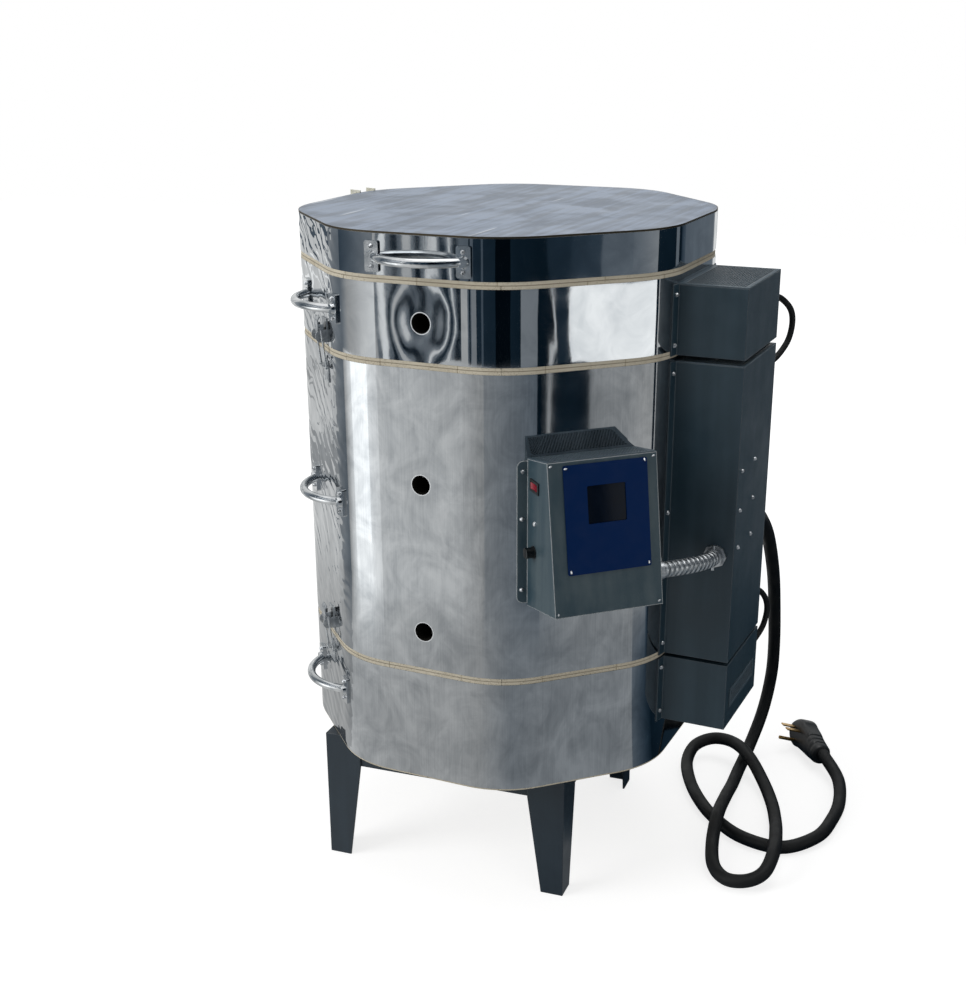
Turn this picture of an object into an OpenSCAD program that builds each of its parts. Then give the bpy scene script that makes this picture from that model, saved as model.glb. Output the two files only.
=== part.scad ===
// Top-loading electric kiln. Three firebrick sections in stainless jackets stand on a
// sheet-steel stand, under a hinged lid. Face 0 looks along -Y and carries the lid handle
// and the peepholes. Faces are counted towards +X: face 1 carries the control box, face 2
// the wiring boxes, face 4 the lid hinge and face 7 the latches. The feet stand on Z = 0.

/* [Chamber and walls] */
// Inside width of the chamber across its flats
chamber_w = 444.5; // [400:0.5:500]
// Thickness of the firebrick wall
brick_t = 75.4; // [65:0.1:90]
// Thickness of the stainless sheet of the jackets
jacket_t = 0.8; // [0.6:0.1:1.5]
// Radius of the rounded corners of the jackets
corner_r = 140; // [110:1:155]
// Height of the brick that shows above and below each jacket
reveal = 5; // [2:0.5:9]
// Diameter of the peepholes
peep_d = 28.6; // [20:0.1:34]

/* [Sections] */
// Thickness of the floor slab
floor_t = 63.5; // [50:0.5:80]
// Height of the bottom brick ring
bottom_h = 114.3; // [105:0.1:140]
// Height of the main brick wall
main_h = 457.2; // [440:0.1:520]
// Height of the top brick ring
top_h = 114.3; // [105:0.1:140]
// Thickness of the lid slab
lid_t = 63.5; // [55:0.5:80]
// Thickness of the sheet on top of the lid
cover_t = 0.8; // [0.6:0.1:2]

/* [Element grooves] */
// Height of one element groove
groove_h = 15; // [12:0.5:20]
// Depth of one element groove
groove_depth = 16; // [12:0.5:22]
// Height between two element rows
groove_pitch = 57.15; // [50:0.05:60]
// Diameter of a heating element
element_d = 9; // [6:0.5:11]

/* [Stand] */
// Height of the stand
stand_h = 218; // [150:1:300]
// Width of the stand over its corners
stand_w = 402.6; // [360:0.2:440]
// Turn of the stand under the kiln in degrees
stand_turn = 4.4; // [0:0.1:8]
// Shift of the stand under the kiln towards +X
stand_dx = -32; // [-40:1:10]
// Shift of the stand under the kiln towards +Y
stand_dy = -15; // [-30:1:10]
// Thickness of the stand's steel
stand_t = 3; // [2:0.5:5]
// Width of a leg's face at the floor
leg_foot_w = 36; // [28:1:50]
// Width of a leg's face at the rails
leg_top_w = 59.4; // [52:0.2:75]
// Height of the stand's rails
rail_h = 51.4; // [40:0.2:65]
// Width of the ledge that the floor slab sits on
ledge_w = 32; // [20:1:45]

/* [Handles] */
// Distance between the two feet of a handle
handle_pitch = 137.2; // [120:0.2:150]
// Diameter of a handle's rod
handle_rod_d = 12.6; // [9:0.2:15]
// Reach of a handle's rod from the jacket to its centre line
handle_reach = 35; // [30:0.5:50]
// Width of a handle's foot
foot_w = 21; // [17:0.5:26]
// Height of a handle's foot
foot_h = 42; // [36:0.5:50]
// Thickness of a handle's foot
foot_t = 3.5; // [2.5:0.5:5]
// Offset of the top section's handles from the middle of their faces
top_handle_shift = 26; // [0:1:30]
// Offset of the main section's handles from the middle of their faces
main_handle_shift = 23; // [0:1:30]
// Offset of the bottom section's handles from the middle of their faces
bottom_handle_shift = 11; // [0:1:30]
// Offset of the lid's handle from the middle of face 0
lid_handle_shift = 2.4; // [0:0.2:10]

/* [Latches] */
// Width of a latch's plates
latch_w = 24; // [20:0.5:30]
// Thickness of a latch's sheet
latch_t = 1.5; // [1:0.1:2]
// Distance of the latch pivot from the jacket
latch_pivot_out = 9; // [8:0.5:12]
// Diameter of the latch pins
latch_pin_d = 4; // [3:0.2:5]
// Offset of the upper latches from the middle of their faces
upper_latch_shift = 50; // [0:1:50]
// Offset of the lower latches from the middle of their faces
lower_latch_shift = 14; // [0:1:50]

/* [Wiring boxes] */
// Width of the wiring boxes
box_w = 172; // [150:1:190]
// Depth of the wiring boxes
box_depth = 98.5; // [80:0.5:120]
// Height of the upper wiring box
upper_box_h = 100; // [85:1:104]
// Height that the main wiring box leaves free below the top section
main_box_gap = 10.5; // [9:0.5:20]
// Height of the lower wiring box
lower_box_h = 105; // [90:1:125]
// Thickness of the boxes' sheet steel
sheet_t = 1.5; // [1:0.1:2]
// Width of the screw flanges
flange_w = 15; // [12:0.5:18]
// Diameter of the holes in the vent panels
vent_hole_d = 5; // [3:0.5:7]
// Distance between two holes of the vent panels
vent_pitch = 12; // [10:0.5:16]

/* [Control box] */
// Width of the control box
control_w = 161.5; // [150:0.5:175]
// Length of its sloping front
control_l = 214; // [200:1:240]
// Depth at its upper front edge
control_depth = 67; // [55:1:85]
// Backward tilt of its front in degrees
control_tilt = 9.9; // [4:0.1:14]
// Height of its upper front edge above the floor
control_z = 744.5; // [700:0.5:800]
// Offset from the middle of face 1
control_shift = -3.6; // [-8:0.2:4]
// Width of the blue panel
panel_w = 124; // [110:1:134]
// Length of the blue panel
panel_l = 150; // [130:1:165]
// Width of the display window
window_w = 57; // [40:1:76]
// Length of the display window
window_l = 52; // [40:1:70]
// Length of the rocker across the box
rocker_l = 26; // [22:1:30]
// Height of the rocker
rocker_h = 13; // [11:1:18]
// Diameter of the fuse cap
fuse_cap_d = 15.5; // [12:0.5:18]

/* [Cords and conduit] */
// Diameter of the power cord
cord_d = 22; // [18:0.5:24]
// Diameter of the jumper cords
jumper_d = 9.4; // [7:0.2:12]
// Outer diameter of the steel conduit
conduit_d = 22; // [18:0.5:26]
// Number of ribs on the conduit
conduit_ribs = 13; // [8:1:18]

/* [Hidden] */
$fn = 64;

// Levels of the sections, from the floor up
z_floor = stand_h;
z_bottom = z_floor + floor_t;
z_main = z_bottom + bottom_h;
z_top = z_main + main_h;
z_lid = z_top + top_h;
z_cover = z_lid + lid_t;

// Half widths across the flats of the chamber, the brick and the jackets
chamber_a = chamber_w / 2;
brick_a = chamber_a + brick_t;
jacket_a = brick_a + jacket_t;
eps = 0.01;

function face_angle(face) = 45 * face;

// Places children on a face: X runs to the right along it, -Y points outwards
module on_face(face, z = 0) {
    rotate([0, 0, face_angle(face)]) translate([0, -jacket_a, z]) children();
}

// Places children at a distance x along a face and a height t above the jacket, also
// where the jacket turns round its corner
module on_curve(x, t) {
    flat = (jacket_a - corner_r) * tan(22.5);
    turn = abs(x) > flat ? asin((abs(x) - flat) / (corner_r + t)) : 0;
    side = x < 0 ? -1 : 1;
    if (turn > 0)
        translate([side * flat, corner_r, 0]) rotate([0, 0, side * turn]) translate([0, -corner_r - t, 0])
            children();
    else
        translate([x, -t, 0]) children();
}

// Outline of the kiln: an octagon with rounded corners
module octagon_2d(a, r) {
    c = (a - r) / cos(22.5);
    polygon([
        for (k = [0:7]) for (side = [-22.5, 22.5])
            let (v = 22.5 + 45 * k)
            [c * cos(v) + r * cos(v + side), c * sin(v) + r * sin(v + side)]
    ]);
    for (k = [0:7]) rotate(22.5 + 45 * k) translate([c, 0]) circle(r);
}

module octagon_prism(a, r, h) {
    linear_extrude(h) octagon_2d(a, r);
}

// Sharp octagon, as the bricks' inner faces form it
module chamber_prism(a, h) {
    rotate([0, 0, 22.5]) cylinder(r = a / cos(22.5), h = h, $fn = 8);
}

// Everything that lies inside the jackets, in a face's own frame
module inside_jacket(z, h) {
    translate([0, jacket_a, z]) octagon_prism(jacket_a, corner_r, h);
}

// One thickness of sheet bent round the jacket, in a face's own frame
module wrapped_sheet(t, z, h) {
    translate([0, jacket_a, z]) difference() {
        octagon_prism(jacket_a + t, corner_r + t, h);
        translate([0, 0, -1]) octagon_prism(jacket_a, corner_r, h + 2);
    }
}

module round_rect(w, h, r) {
    translate([-w / 2 + r, -h / 2]) square([w - 2 * r, h]);
    translate([-w / 2, -h / 2 + r]) square([w, h - 2 * r]);
    for (x = [-1, 1], y = [-1, 1])
        translate([x * (w / 2 - r), y * (h / 2 - r)]) circle(r);
}

// Brick and jackets

peep_z = [
    z_main + main_h * 0.137,
    z_main + main_h * 0.627,
    z_top + top_h * 0.51
];

// The top section's peephole sits a little to the right of the others
upper_peep_shift = 5;

module peepholes() {
    for (z = peep_z)
        on_face(0, z) translate([z > z_top ? upper_peep_shift : 0, -1, 0])
            rotate([-90, 0, 0]) cylinder(d = peep_d, h = brick_t + 4);
}

// Rows of one brick section, as heights above its foot
function groove_rows(h) =
    let (n = floor(h / groove_pitch + 0.1))
    [for (i = [0 : n - 1]) h / 2 + (i - (n - 1) / 2) * groove_pitch];

function all_rows() = concat(
    [for (z = groove_rows(bottom_h)) z_bottom + z],
    [for (z = groove_rows(main_h)) z_main + z],
    [for (z = groove_rows(top_h)) z_top + z]
);

module grooves(z0, h) {
    for (z = groove_rows(h))
        translate([0, 0, z0 + z - groove_h / 2])
            chamber_prism(chamber_a + groove_depth, groove_h);
}

thermocouple_d = 8;
thermocouple_gap = 0.3;
// It passes just below the third groove from the top of the main wall
main_rows = groove_rows(main_h);
thermocouple_z = z_main + main_rows[len(main_rows) - 3]
    - groove_h / 2 - thermocouple_d / 2 - 2 * thermocouple_gap;

module thermocouple_bore() {
    on_face(1, thermocouple_z) translate([0, -2, 0]) rotate([-90, 0, 0])
        cylinder(d = thermocouple_d + 2 * thermocouple_gap, h = brick_t + 6);
}

// Open joint between the blocks of a section, one block to each face
brick_joint = 0.5;

module block_joints(z0, h) {
    for (k = [0:7]) rotate([0, 0, 22.5 + 45 * k])
        translate([chamber_a, -brick_joint / 2, z0]) cube([2 * brick_t, brick_joint, h]);
}

module brick_section(z0, h) {
    color("#c9bc9c") difference() {
        translate([0, 0, z0]) octagon_prism(brick_a, corner_r - jacket_t, h);
        translate([0, 0, z0 - 1]) chamber_prism(chamber_a, h + 2);
        grooves(z0, h);
        block_joints(z0 - 1, h + 2);
        peepholes();
        thermocouple_bore();
    }
}

module bottom_brick_ring() { brick_section(z_bottom, bottom_h); }
module main_brick_wall() { brick_section(z_main, main_h); }
module top_brick_ring() { brick_section(z_top, top_h); }

module floor_slab() {
    color("#c9bc9c") translate([0, 0, z_floor])
        octagon_prism(brick_a, corner_r - jacket_t, floor_t);
}

module jacket(z0, h) {
    color("#b8bcc0") difference() {
        translate([0, 0, z0]) octagon_prism(jacket_a, corner_r, h);
        translate([0, 0, z0 - 1]) octagon_prism(brick_a, corner_r - jacket_t, h + 2);
        peepholes();
        thermocouple_bore();
    }
}

module bottom_jacket() { jacket(z_floor + reveal / 2, floor_t + bottom_h - 1.5 * reveal); }
module main_jacket() { jacket(z_main + reveal, main_h - 2 * reveal); }
module top_jacket() { jacket(z_top + reveal, top_h - 2 * reveal); }

// Centre line of the element rows
element_a = chamber_a + groove_depth - element_d / 2 - 1;

module heating_elements() {
    color("#7a6a5c") for (z = all_rows())
        translate([0, 0, z - groove_h / 2]) difference() {
            chamber_prism(element_a + element_d / 2, element_d);
            translate([0, 0, -1]) chamber_prism(element_a - element_d / 2, element_d + 2);
        }
}

// Stand

module at_stand() {
    translate([stand_dx, stand_dy, 0]) rotate([0, 0, stand_turn]) children();
}

// Leg with its outer corner at the origin and its faces along +X and +Y
module leg() {
    taper_h = stand_h - rail_h;
    outline = [[0, 0], [leg_foot_w, 0], [leg_top_w, taper_h], [leg_top_w, stand_h], [0, stand_h]];
    color("#26323a") {
        translate([0, stand_t, 0]) rotate([90, 0, 0]) linear_extrude(stand_t) polygon(outline);
        rotate([90, 0, 90]) linear_extrude(stand_t) polygon(outline);
    }
}

module stand_leg(quarter) {
    at_stand() rotate([0, 0, 90 * quarter]) translate([-stand_w / 2, -stand_w / 2, 0]) leg();
}

module leg_front_left() { stand_leg(0); }
module leg_front_right() { stand_leg(1); }
module leg_rear_right() { stand_leg(2); }
module leg_rear_left() { stand_leg(3); }

module stand_frame() {
    outer = stand_w - 2 * stand_t;
    color("#26323a") at_stand() translate([0, 0, stand_h - rail_h]) difference() {
        translate([-outer / 2, -outer / 2, 0]) cube([outer, outer, rail_h]);
        translate([-outer / 2 + stand_t, -outer / 2 + stand_t, -1])
            cube([outer - 2 * stand_t, outer - 2 * stand_t, rail_h - stand_t + 1]);
        translate([-outer / 2 + ledge_w, -outer / 2 + ledge_w, -1])
            cube([outer - 2 * ledge_w, outer - 2 * ledge_w, rail_h + 2]);
    }
}

// Handles

// The rod is an arc through both feet and the farthest point of the reach
arc_half = handle_pitch / 2 - 3;
arc_r = (arc_half * arc_half + handle_reach * handle_reach) / (2 * handle_reach);
arc_angle = 2 * asin(arc_half / arc_r);

// Depth of the cut that seats a foot on the jacket
seat = 0.5;

module pull_handle(shift) {
    overrun = 12;
    color("#d8dce0") difference() {
        union() {
            for (side = [-1, 1]) on_curve(shift + side * handle_pitch / 2, -seat) rotate([90, 0, 0]) {
                linear_extrude(foot_t + seat) round_rect(foot_w, foot_h, 3);
                cylinder(d1 = foot_w - 1, d2 = handle_rod_d + 1, h = foot_t + 5);
            }
            translate([shift, arc_r - handle_reach, 0]) rotate([0, 0, 270 - arc_angle / 2 - overrun])
                rotate_extrude(angle = arc_angle + 2 * overrun) translate([arc_r, 0]) circle(d = handle_rod_d);
        }
        inside_jacket(-foot_h, 2 * foot_h);
    }
}

// Middle heights of the handles on the three sections
top_handle_z = z_top + top_h * 0.56;
main_handle_z = z_main + main_h * 0.5166;
bottom_handle_z = z_bottom + bottom_h * 0.3613;
lid_handle_z = z_lid + lid_t * 0.47;

module top_handle_left() { on_face(7, top_handle_z) pull_handle(top_handle_shift); }
module main_handle_left() { on_face(7, main_handle_z) pull_handle(main_handle_shift); }
module bottom_handle_left() { on_face(7, bottom_handle_z) pull_handle(bottom_handle_shift); }
module top_handle_right() { on_face(3, top_handle_z) pull_handle(top_handle_shift); }
module main_handle_right() { on_face(3, main_handle_z) pull_handle(main_handle_shift); }
module bottom_handle_right() { on_face(3, bottom_handle_z) pull_handle(bottom_handle_shift); }
module lid_handle() { on_face(0, lid_handle_z) pull_handle(lid_handle_shift); }

// Screw with a domed head that stands on a surface and points outwards
screw_d = 8;
small_screw_d = 5.6;
screw_h = 2.6;

module screw_head(d = screw_d) {
    rotate([90, 0, 0]) {
        cylinder(d = d, h = screw_h * 0.45);
        translate([0, 0, screw_h * 0.45]) cylinder(d1 = d, d2 = d * 0.55, h = screw_h * 0.55);
    }
}

foot_screw_pitch = foot_w + screw_d - 2;

module handle_screws(shift) {
    for (side = [-1, 1], up = [-1, 1]) on_curve(shift + side * handle_pitch / 2, -seat)
        translate([0, -foot_t - seat, up * foot_screw_pitch / 2]) screw_head();
}

// Latches: a base above each joint, a keeper below it

lever_l = 23;
base_h = 34;
base_z = 5 + reveal;
pivot_z = base_z + 9;
bail_pivot_dz = 11;
bail_pivot_y = latch_pivot_out + 1.5;
bail_w = latch_w + 5;
bail_wire_d = 3.4;
bail_side_d = 3;
keeper_z = -20 - reveal;
hook_out = 8;
hook_y = latch_t + 3;

module at_upper_latch(face) {
    on_face(face, z_top) translate([upper_latch_shift, 0, 0]) children();
}

module at_lower_latch(face) {
    on_face(face, z_main) translate([lower_latch_shift, 0, 0]) children();
}

// Plate of sheet that stands square to the face, drawn as Y and Z and centred on x
module cheek(x) {
    translate([x - latch_t / 2, 0, 0]) rotate([90, 0, 90]) linear_extrude(latch_t) children();
}

// Pin or wire along X through a point given as Y and Z
module cross_pin(y, z, d, w) {
    translate([-w / 2, y, z]) rotate([0, 90, 0]) cylinder(d = d, h = w);
}

module latch_base() {
    translate([-latch_w / 2, -latch_t, base_z]) cube([latch_w, latch_t, base_h]);
    for (side = [-1, 1]) cheek(side * (latch_w / 2 - latch_t / 2)) {
        translate([-latch_pivot_out, base_z]) square([latch_pivot_out, 2 * (pivot_z - base_z)]);
        translate([-latch_pivot_out, pivot_z]) circle(r = pivot_z - base_z);
    }
    cross_pin(-latch_pivot_out, pivot_z, latch_pin_d, latch_w + 1);
}

module latch_keeper() {
    translate([-latch_w / 2, -latch_t, keeper_z - 24]) cube([latch_w, latch_t, 32]);
    translate([-latch_w / 2 + 3, -hook_out - latch_t, keeper_z]) cube([latch_w - 6, hook_out + eps, latch_t]);
}

lever_w = latch_w - 2 * latch_t - 1;
lever_out = latch_pivot_out + 5;
pin_gap = 0.1;

module latch_lever() {
    difference() {
        union() {
            translate([-lever_w / 2, -lever_out, pivot_z]) cube([lever_w, latch_t, lever_l]);
            translate([-lever_w / 2, -lever_out, pivot_z + lever_l]) rotate([-30, 0, 0])
                cube([lever_w, latch_t, 6]);
            for (side = [-1, 1]) cheek(side * (lever_w / 2 - latch_t / 2)) {
                translate([-latch_pivot_out, pivot_z]) circle(r = 5);
                translate([-lever_out, pivot_z]) square([9, bail_pivot_dz + 6]);
            }
        }
        cross_pin(-latch_pivot_out, pivot_z, latch_pin_d + 2 * pin_gap, 2 * latch_w);
        cross_pin(-bail_pivot_y, pivot_z + bail_pivot_dz, bail_wire_d + 2 * pin_gap, 2 * latch_w);
    }
}

// Wire frame: side wires a little thinner than the two bars that join them
module latch_bail() {
    top = [-bail_pivot_y, pivot_z + bail_pivot_dz];
    bottom = [-hook_y, keeper_z - bail_wire_d / 2 - 0.1];
    slant = atan2(bottom.x - top.x, top.y - bottom.y);
    for (end = [top, bottom]) cross_pin(end.x, end.y, bail_wire_d, bail_w + bail_side_d + 0.4);
    for (side = [-1, 1]) translate([side * bail_w / 2, top.x, top.y]) rotate([slant, 0, 0])
        translate([0, 0, -norm(bottom - top)]) cylinder(d = bail_side_d, h = norm(bottom - top));
}

module latch_fixings() {
    latch_base();
    latch_keeper();
}

module latch_plates() {
    color("#b9bec2") for (face = [3, 7]) {
        at_upper_latch(face) latch_fixings();
        at_lower_latch(face) latch_fixings();
    }
}

module upper_left_latch_lever() { color("#b9bec2") at_upper_latch(7) latch_lever(); }
module lower_left_latch_lever() { color("#b9bec2") at_lower_latch(7) latch_lever(); }
module upper_right_latch_lever() { color("#b9bec2") at_upper_latch(3) latch_lever(); }
module lower_right_latch_lever() { color("#b9bec2") at_lower_latch(3) latch_lever(); }
module upper_left_latch_bail() { color("#b9bec2") at_upper_latch(7) latch_bail(); }
module lower_left_latch_bail() { color("#b9bec2") at_lower_latch(7) latch_bail(); }
module upper_right_latch_bail() { color("#b9bec2") at_upper_latch(3) latch_bail(); }
module lower_right_latch_bail() { color("#b9bec2") at_lower_latch(3) latch_bail(); }

// Hinge on face 4

hinge_w = 150;
hinge_t = 2.5;
hinge_pin_d = 8;
knuckle_d = 15;
hinge_out = hinge_t + knuckle_d / 2;
knuckle_gap = 0.5;
body_leaf_h = 70;
lid_leaf_h = 48;
knuckles = 5;
knuckle_l = hinge_w / knuckles;

module knuckle_row(first, leaf_z, leaf_h, sign) {
    for (i = [first : 2 : knuckles - 1]) {
        x = -hinge_w / 2 + i * knuckle_l + knuckle_gap / 2;
        l = knuckle_l - knuckle_gap;
        translate([x, -hinge_out, 0]) rotate([0, 90, 0]) cylinder(d = knuckle_d, h = l);
        translate([x, -hinge_out, sign > 0 ? 0 : -knuckle_d / 2 - 2])
            cube([l, hinge_out, knuckle_d / 2 + 2]);
    }
    translate([-hinge_w / 2, -hinge_t, leaf_z]) cube([hinge_w, hinge_t, leaf_h]);
}

module hinge_bore() {
    translate([-hinge_w, -hinge_out, 0]) rotate([0, 90, 0]) cylinder(d = hinge_pin_d + 0.3, h = 2 * hinge_w);
}

module hinge_body_leaf() {
    color("#b9bec2") on_face(4, z_lid) difference() {
        knuckle_row(0, -body_leaf_h - knuckle_d / 2, body_leaf_h, -1);
        hinge_bore();
    }
}

module hinge_lid_leaf() {
    color("#b9bec2") on_face(4, z_lid) difference() {
        knuckle_row(1, knuckle_d / 2, lid_leaf_h, 1);
        hinge_bore();
    }
}

module hinge_pin() {
    color("#9aa0a5") on_face(4, z_lid) translate([-hinge_w / 2 - 3, -hinge_out, 0])
        rotate([0, 90, 0]) cylinder(d = hinge_pin_d, h = hinge_w + 6);
}

// Lid

module lid_slab() {
    color("#c9bc9c") translate([0, 0, z_lid])
        octagon_prism(brick_a, corner_r - jacket_t, lid_t - cover_t);
}

module lid_band() {
    color("#c4c8cc") translate([0, 0, z_lid + reveal]) difference() {
        octagon_prism(jacket_a, corner_r, lid_t - reveal);
        translate([0, 0, -1]) octagon_prism(brick_a, corner_r - jacket_t, lid_t + 2);
    }
}

module lid_cover() {
    color("#8f9aa6") translate([0, 0, z_cover - cover_t])
        octagon_prism(brick_a, corner_r - jacket_t, cover_t);
}

// Clamp that draws the lid's band tight at the corner between faces 5 and 6
clamp_angle = face_angle(5.5) + 3.5;
clamp_w = 34;
clamp_tab = 20;
clamp_h = 46;

module lid_clamp() {
    corner = jacket_a / cos(22.5) - corner_r * (1 / cos(22.5) - 1);
    foot_z = z_cover - clamp_h + 3;
    color("#b9bec2") difference() {
        rotate([0, 0, clamp_angle]) translate([0, -corner, foot_z]) {
            for (side = [-1, 1]) translate([side * clamp_w / 2 - 1, -clamp_tab, 0])
                cube([2, clamp_tab + 20, clamp_h]);
            for (z = [0.3, 0.78]) translate([-clamp_w / 2 - 9, -clamp_tab + 9, z * clamp_h]) rotate([0, 90, 0])
                cylinder(d = 6, h = clamp_w + 18);
        }
        translate([0, 0, foot_z - 1]) octagon_prism(jacket_a, corner_r, clamp_h + 2);
    }
}

module hinge_leaf_screws(z) {
    for (x = [-1, 0, 1]) translate([x * hinge_w * 0.36, -hinge_t, z]) screw_head();
}

module lid_screws() {
    color("#cfd3d6") {
        on_face(0, lid_handle_z) handle_screws(lid_handle_shift);
        on_face(4, z_lid) for (z = [0.35, 0.8]) hinge_leaf_screws(knuckle_d / 2 + z * lid_leaf_h);
    }
}

// Wiring boxes on face 2

upper_box_z = z_top - 2.2;
main_box_z = z_main - 1.3;
main_box_h = z_top - main_box_gap - main_box_z;
lower_box_z = z_main - 7 - lower_box_h;

// Open-backed box with two flanges that follow the jacket
module wiring_box(z, h, closed_top) {
    top_t = closed_top ? sheet_t : 0;
    wall_h = closed_top ? h : h - sheet_t;
    difference() {
        union() {
            difference() {
                translate([-box_w / 2, -box_depth, z]) cube([box_w, box_depth + 10, wall_h]);
                translate([-box_w / 2 + sheet_t, -box_depth + sheet_t, z + sheet_t])
                    cube([box_w - 2 * sheet_t, box_depth + 20, wall_h - sheet_t - top_t + (closed_top ? 0 : 1)]);
            }
            intersection() {
                wrapped_sheet(sheet_t, z, h);
                for (side = [-1, 1])
                    translate([side * (box_w / 2 + flange_w / 2 - sheet_t / 2), 10, z + h / 2])
                        cube([flange_w + sheet_t, 40, h], center = true);
            }
        }
        inside_jacket(z - 1, h + 2);
    }
}

module upper_wiring_box() {
    color("#333d44") on_face(2) wiring_box(upper_box_z, upper_box_h, false);
}

module main_wiring_box() {
    color("#333d44") on_face(2) wiring_box(main_box_z, main_box_h, false);
}

louvre_w = 130;
louvre_h = 30;
louvre_z = lower_box_z + lower_box_h * 0.27;

module lower_wiring_box() {
    color("#333d44") on_face(2) difference() {
        wiring_box(lower_box_z, lower_box_h, true);
        translate([-louvre_w / 2 + 6, -box_depth - 1, louvre_z + 4])
            cube([louvre_w - 12, sheet_t + 2, louvre_h - 8]);
    }
}

module box_vent_panels() {
    color("#3a444b") on_face(2) louvre();
    color("#3a444b") on_face(2) for (top = [upper_box_z + upper_box_h, main_box_z + main_box_h])
        difference() {
            translate([0, 0, top - sheet_t]) linear_extrude(sheet_t) difference() {
                translate([-box_w / 2, -box_depth]) square([box_w, box_depth + 4]);
                vent_holes_2d(box_w, box_depth);
            }
            inside_jacket(top - sheet_t - 1, sheet_t + 2);
        }
}

// Staggered rows of holes over a panel whose back edge lies at Y = 0
module vent_holes_2d(w, d) {
    row_pitch = vent_pitch * cos(30);
    columns = floor((w - 16) / vent_pitch);
    rows = floor((d - 16) / row_pitch);
    for (row = [0 : rows - 1], column = [0 : columns - 1 - row % 2])
        translate([
            (column - (columns - 1) / 2 + (row % 2) / 2) * vent_pitch,
            -d + 9 + row * row_pitch
        ]) circle(d = vent_hole_d, $fn = 24);
}

// Panel with tilted blades in the face of the lower box
module louvre() {
    blades = 4;
    rim = 8;
    blade_pitch = (louvre_h - 10) / blades;
    translate([0, -box_depth, louvre_z]) {
        translate([-louvre_w / 2, -sheet_t, 0]) difference() {
            cube([louvre_w, sheet_t, louvre_h]);
            translate([rim, -1, 5]) cube([louvre_w - 2 * rim, sheet_t + 2, louvre_h - 10]);
        }
        for (i = [0 : blades - 1]) translate([-louvre_w / 2 + rim - 1, -sheet_t, 5.6 + i * blade_pitch])
            rotate([35, 0, 0]) cube([louvre_w - 2 * rim + 2, 1, 4.6]);
    }
}

terminal_w = 60;
terminal_h = 26;
terminal_depth = 22;

module terminal_block(z) {
    translate([-terminal_w / 2, -terminal_depth, z]) {
        cube([terminal_w, terminal_depth, terminal_h]);
        for (i = [0:3]) translate([8 + i * 15, 0, terminal_h / 2]) rotate([90, 0, 0]) cylinder(d = 7, h = 3);
    }
}

module terminal_blocks() {
    color("#e6e0d0") on_face(2)
        for (z = [
            upper_box_z + upper_box_h / 2, main_box_z + main_box_h * 0.737,
            main_box_z + main_box_h * 0.112, lower_box_z + lower_box_h / 2
        ]) terminal_block(z - terminal_h / 2);
}

relay_size = [42, 48, 52];

module relays() {
    color("#1d2226") on_face(2) for (side = [-1, 1], k = [0.246, 0.424])
        translate([side * box_w / 6 - relay_size.x / 2, -relay_size.y, main_box_z + k * main_box_h]) {
            cube(relay_size);
            for (tab = [8, relay_size.x - 12]) translate([tab, -6, relay_size.z - 8]) cube([4, 6, 1.2]);
        }
}

// Cords

// Route points of the power cord, from the gland to the plug
power_route = [
    [368, 116, 556], [368, 138, 556], [364, 195, 532], [365, 250, 482], [364, 307, 400],
    [359, 357, 313], [353, 400, 223], [347, 419, 151], [337, 411, 78],
    [326, 363, 21], [328, 294, 12], [336, 225, 20], [343, 156, 32], [350, 86, 36],
    [362, 17, 22], [381, -37, 14], [410, -64, 12], [444, -64, 18], [466, -47, 30], [468, 1, 42],
    [454, 69, 36], [437, 135, 19], [415, 200, 12], [384, 258, 19], [344, 305, 39],
    [305, 338, 44], [264, 350, 38], [236, 328, 28], [234, 287, 15], [257, 228, 12],
    [292, 168, 12], [336, 115, 12], [395, 72, 12], [465, 66, 12], [511, 119, 14],
    [523, 189, 14], [519, 259, 13], [501, 327, 18], [466, 373, 32], [459, 382, 32]
];
upper_jumper_route = [
    [378, 102, 905], [378, 109, 905], [378, 116, 905], [386, 142, 898], [397, 160, 880], [400, 166, 858],
    [397, 158, 832], [387, 138, 811], [378, 116, 803], [378, 109, 803], [378, 102, 803]
];
lower_jumper_route = [
    [378, 102, 436], [378, 109, 436], [378, 116, 436], [384, 138, 428], [391, 152, 410], [393, 157, 388],
    [390, 150, 364], [383, 134, 347], [378, 116, 340], [378, 109, 340], [378, 102, 340]
];

function unit(v) = v / norm(v);
function spline_point(a, b, c, d, t) =
    0.5 * (2 * b + (c - a) * t + (2 * a - 5 * b + 4 * c - d) * t * t + (3 * b - a - 3 * c + d) * t * t * t);

// Smooth curve through the route's points, with a number of steps between two of them
function smooth(route, steps) =
    let (n = len(route))
    concat(
        [for (i = [0 : n - 2]) for (k = [0 : steps - 1])
            spline_point(route[max(i - 1, 0)], route[i], route[i + 1], route[min(i + 2, n - 1)], k / steps)],
        [route[n - 1]]
    );

function tangents(line) =
    let (n = len(line))
    [for (i = [0 : n - 1]) unit(line[min(i + 1, n - 1)] - line[max(i - 1, 0)])];

// Normals carried along the line without twist
function normals(tangent, i = 0, last = undef, out = []) =
    i == len(tangent) ? out :
    let (
        seed = is_undef(last) ? (abs(tangent[0].z) < 0.9 ? [0, 0, 1] : [1, 0, 0]) : last,
        n = unit(seed - (seed * tangent[i]) * tangent[i])
    )
    normals(tangent, i + 1, n, concat(out, [n]));

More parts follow.
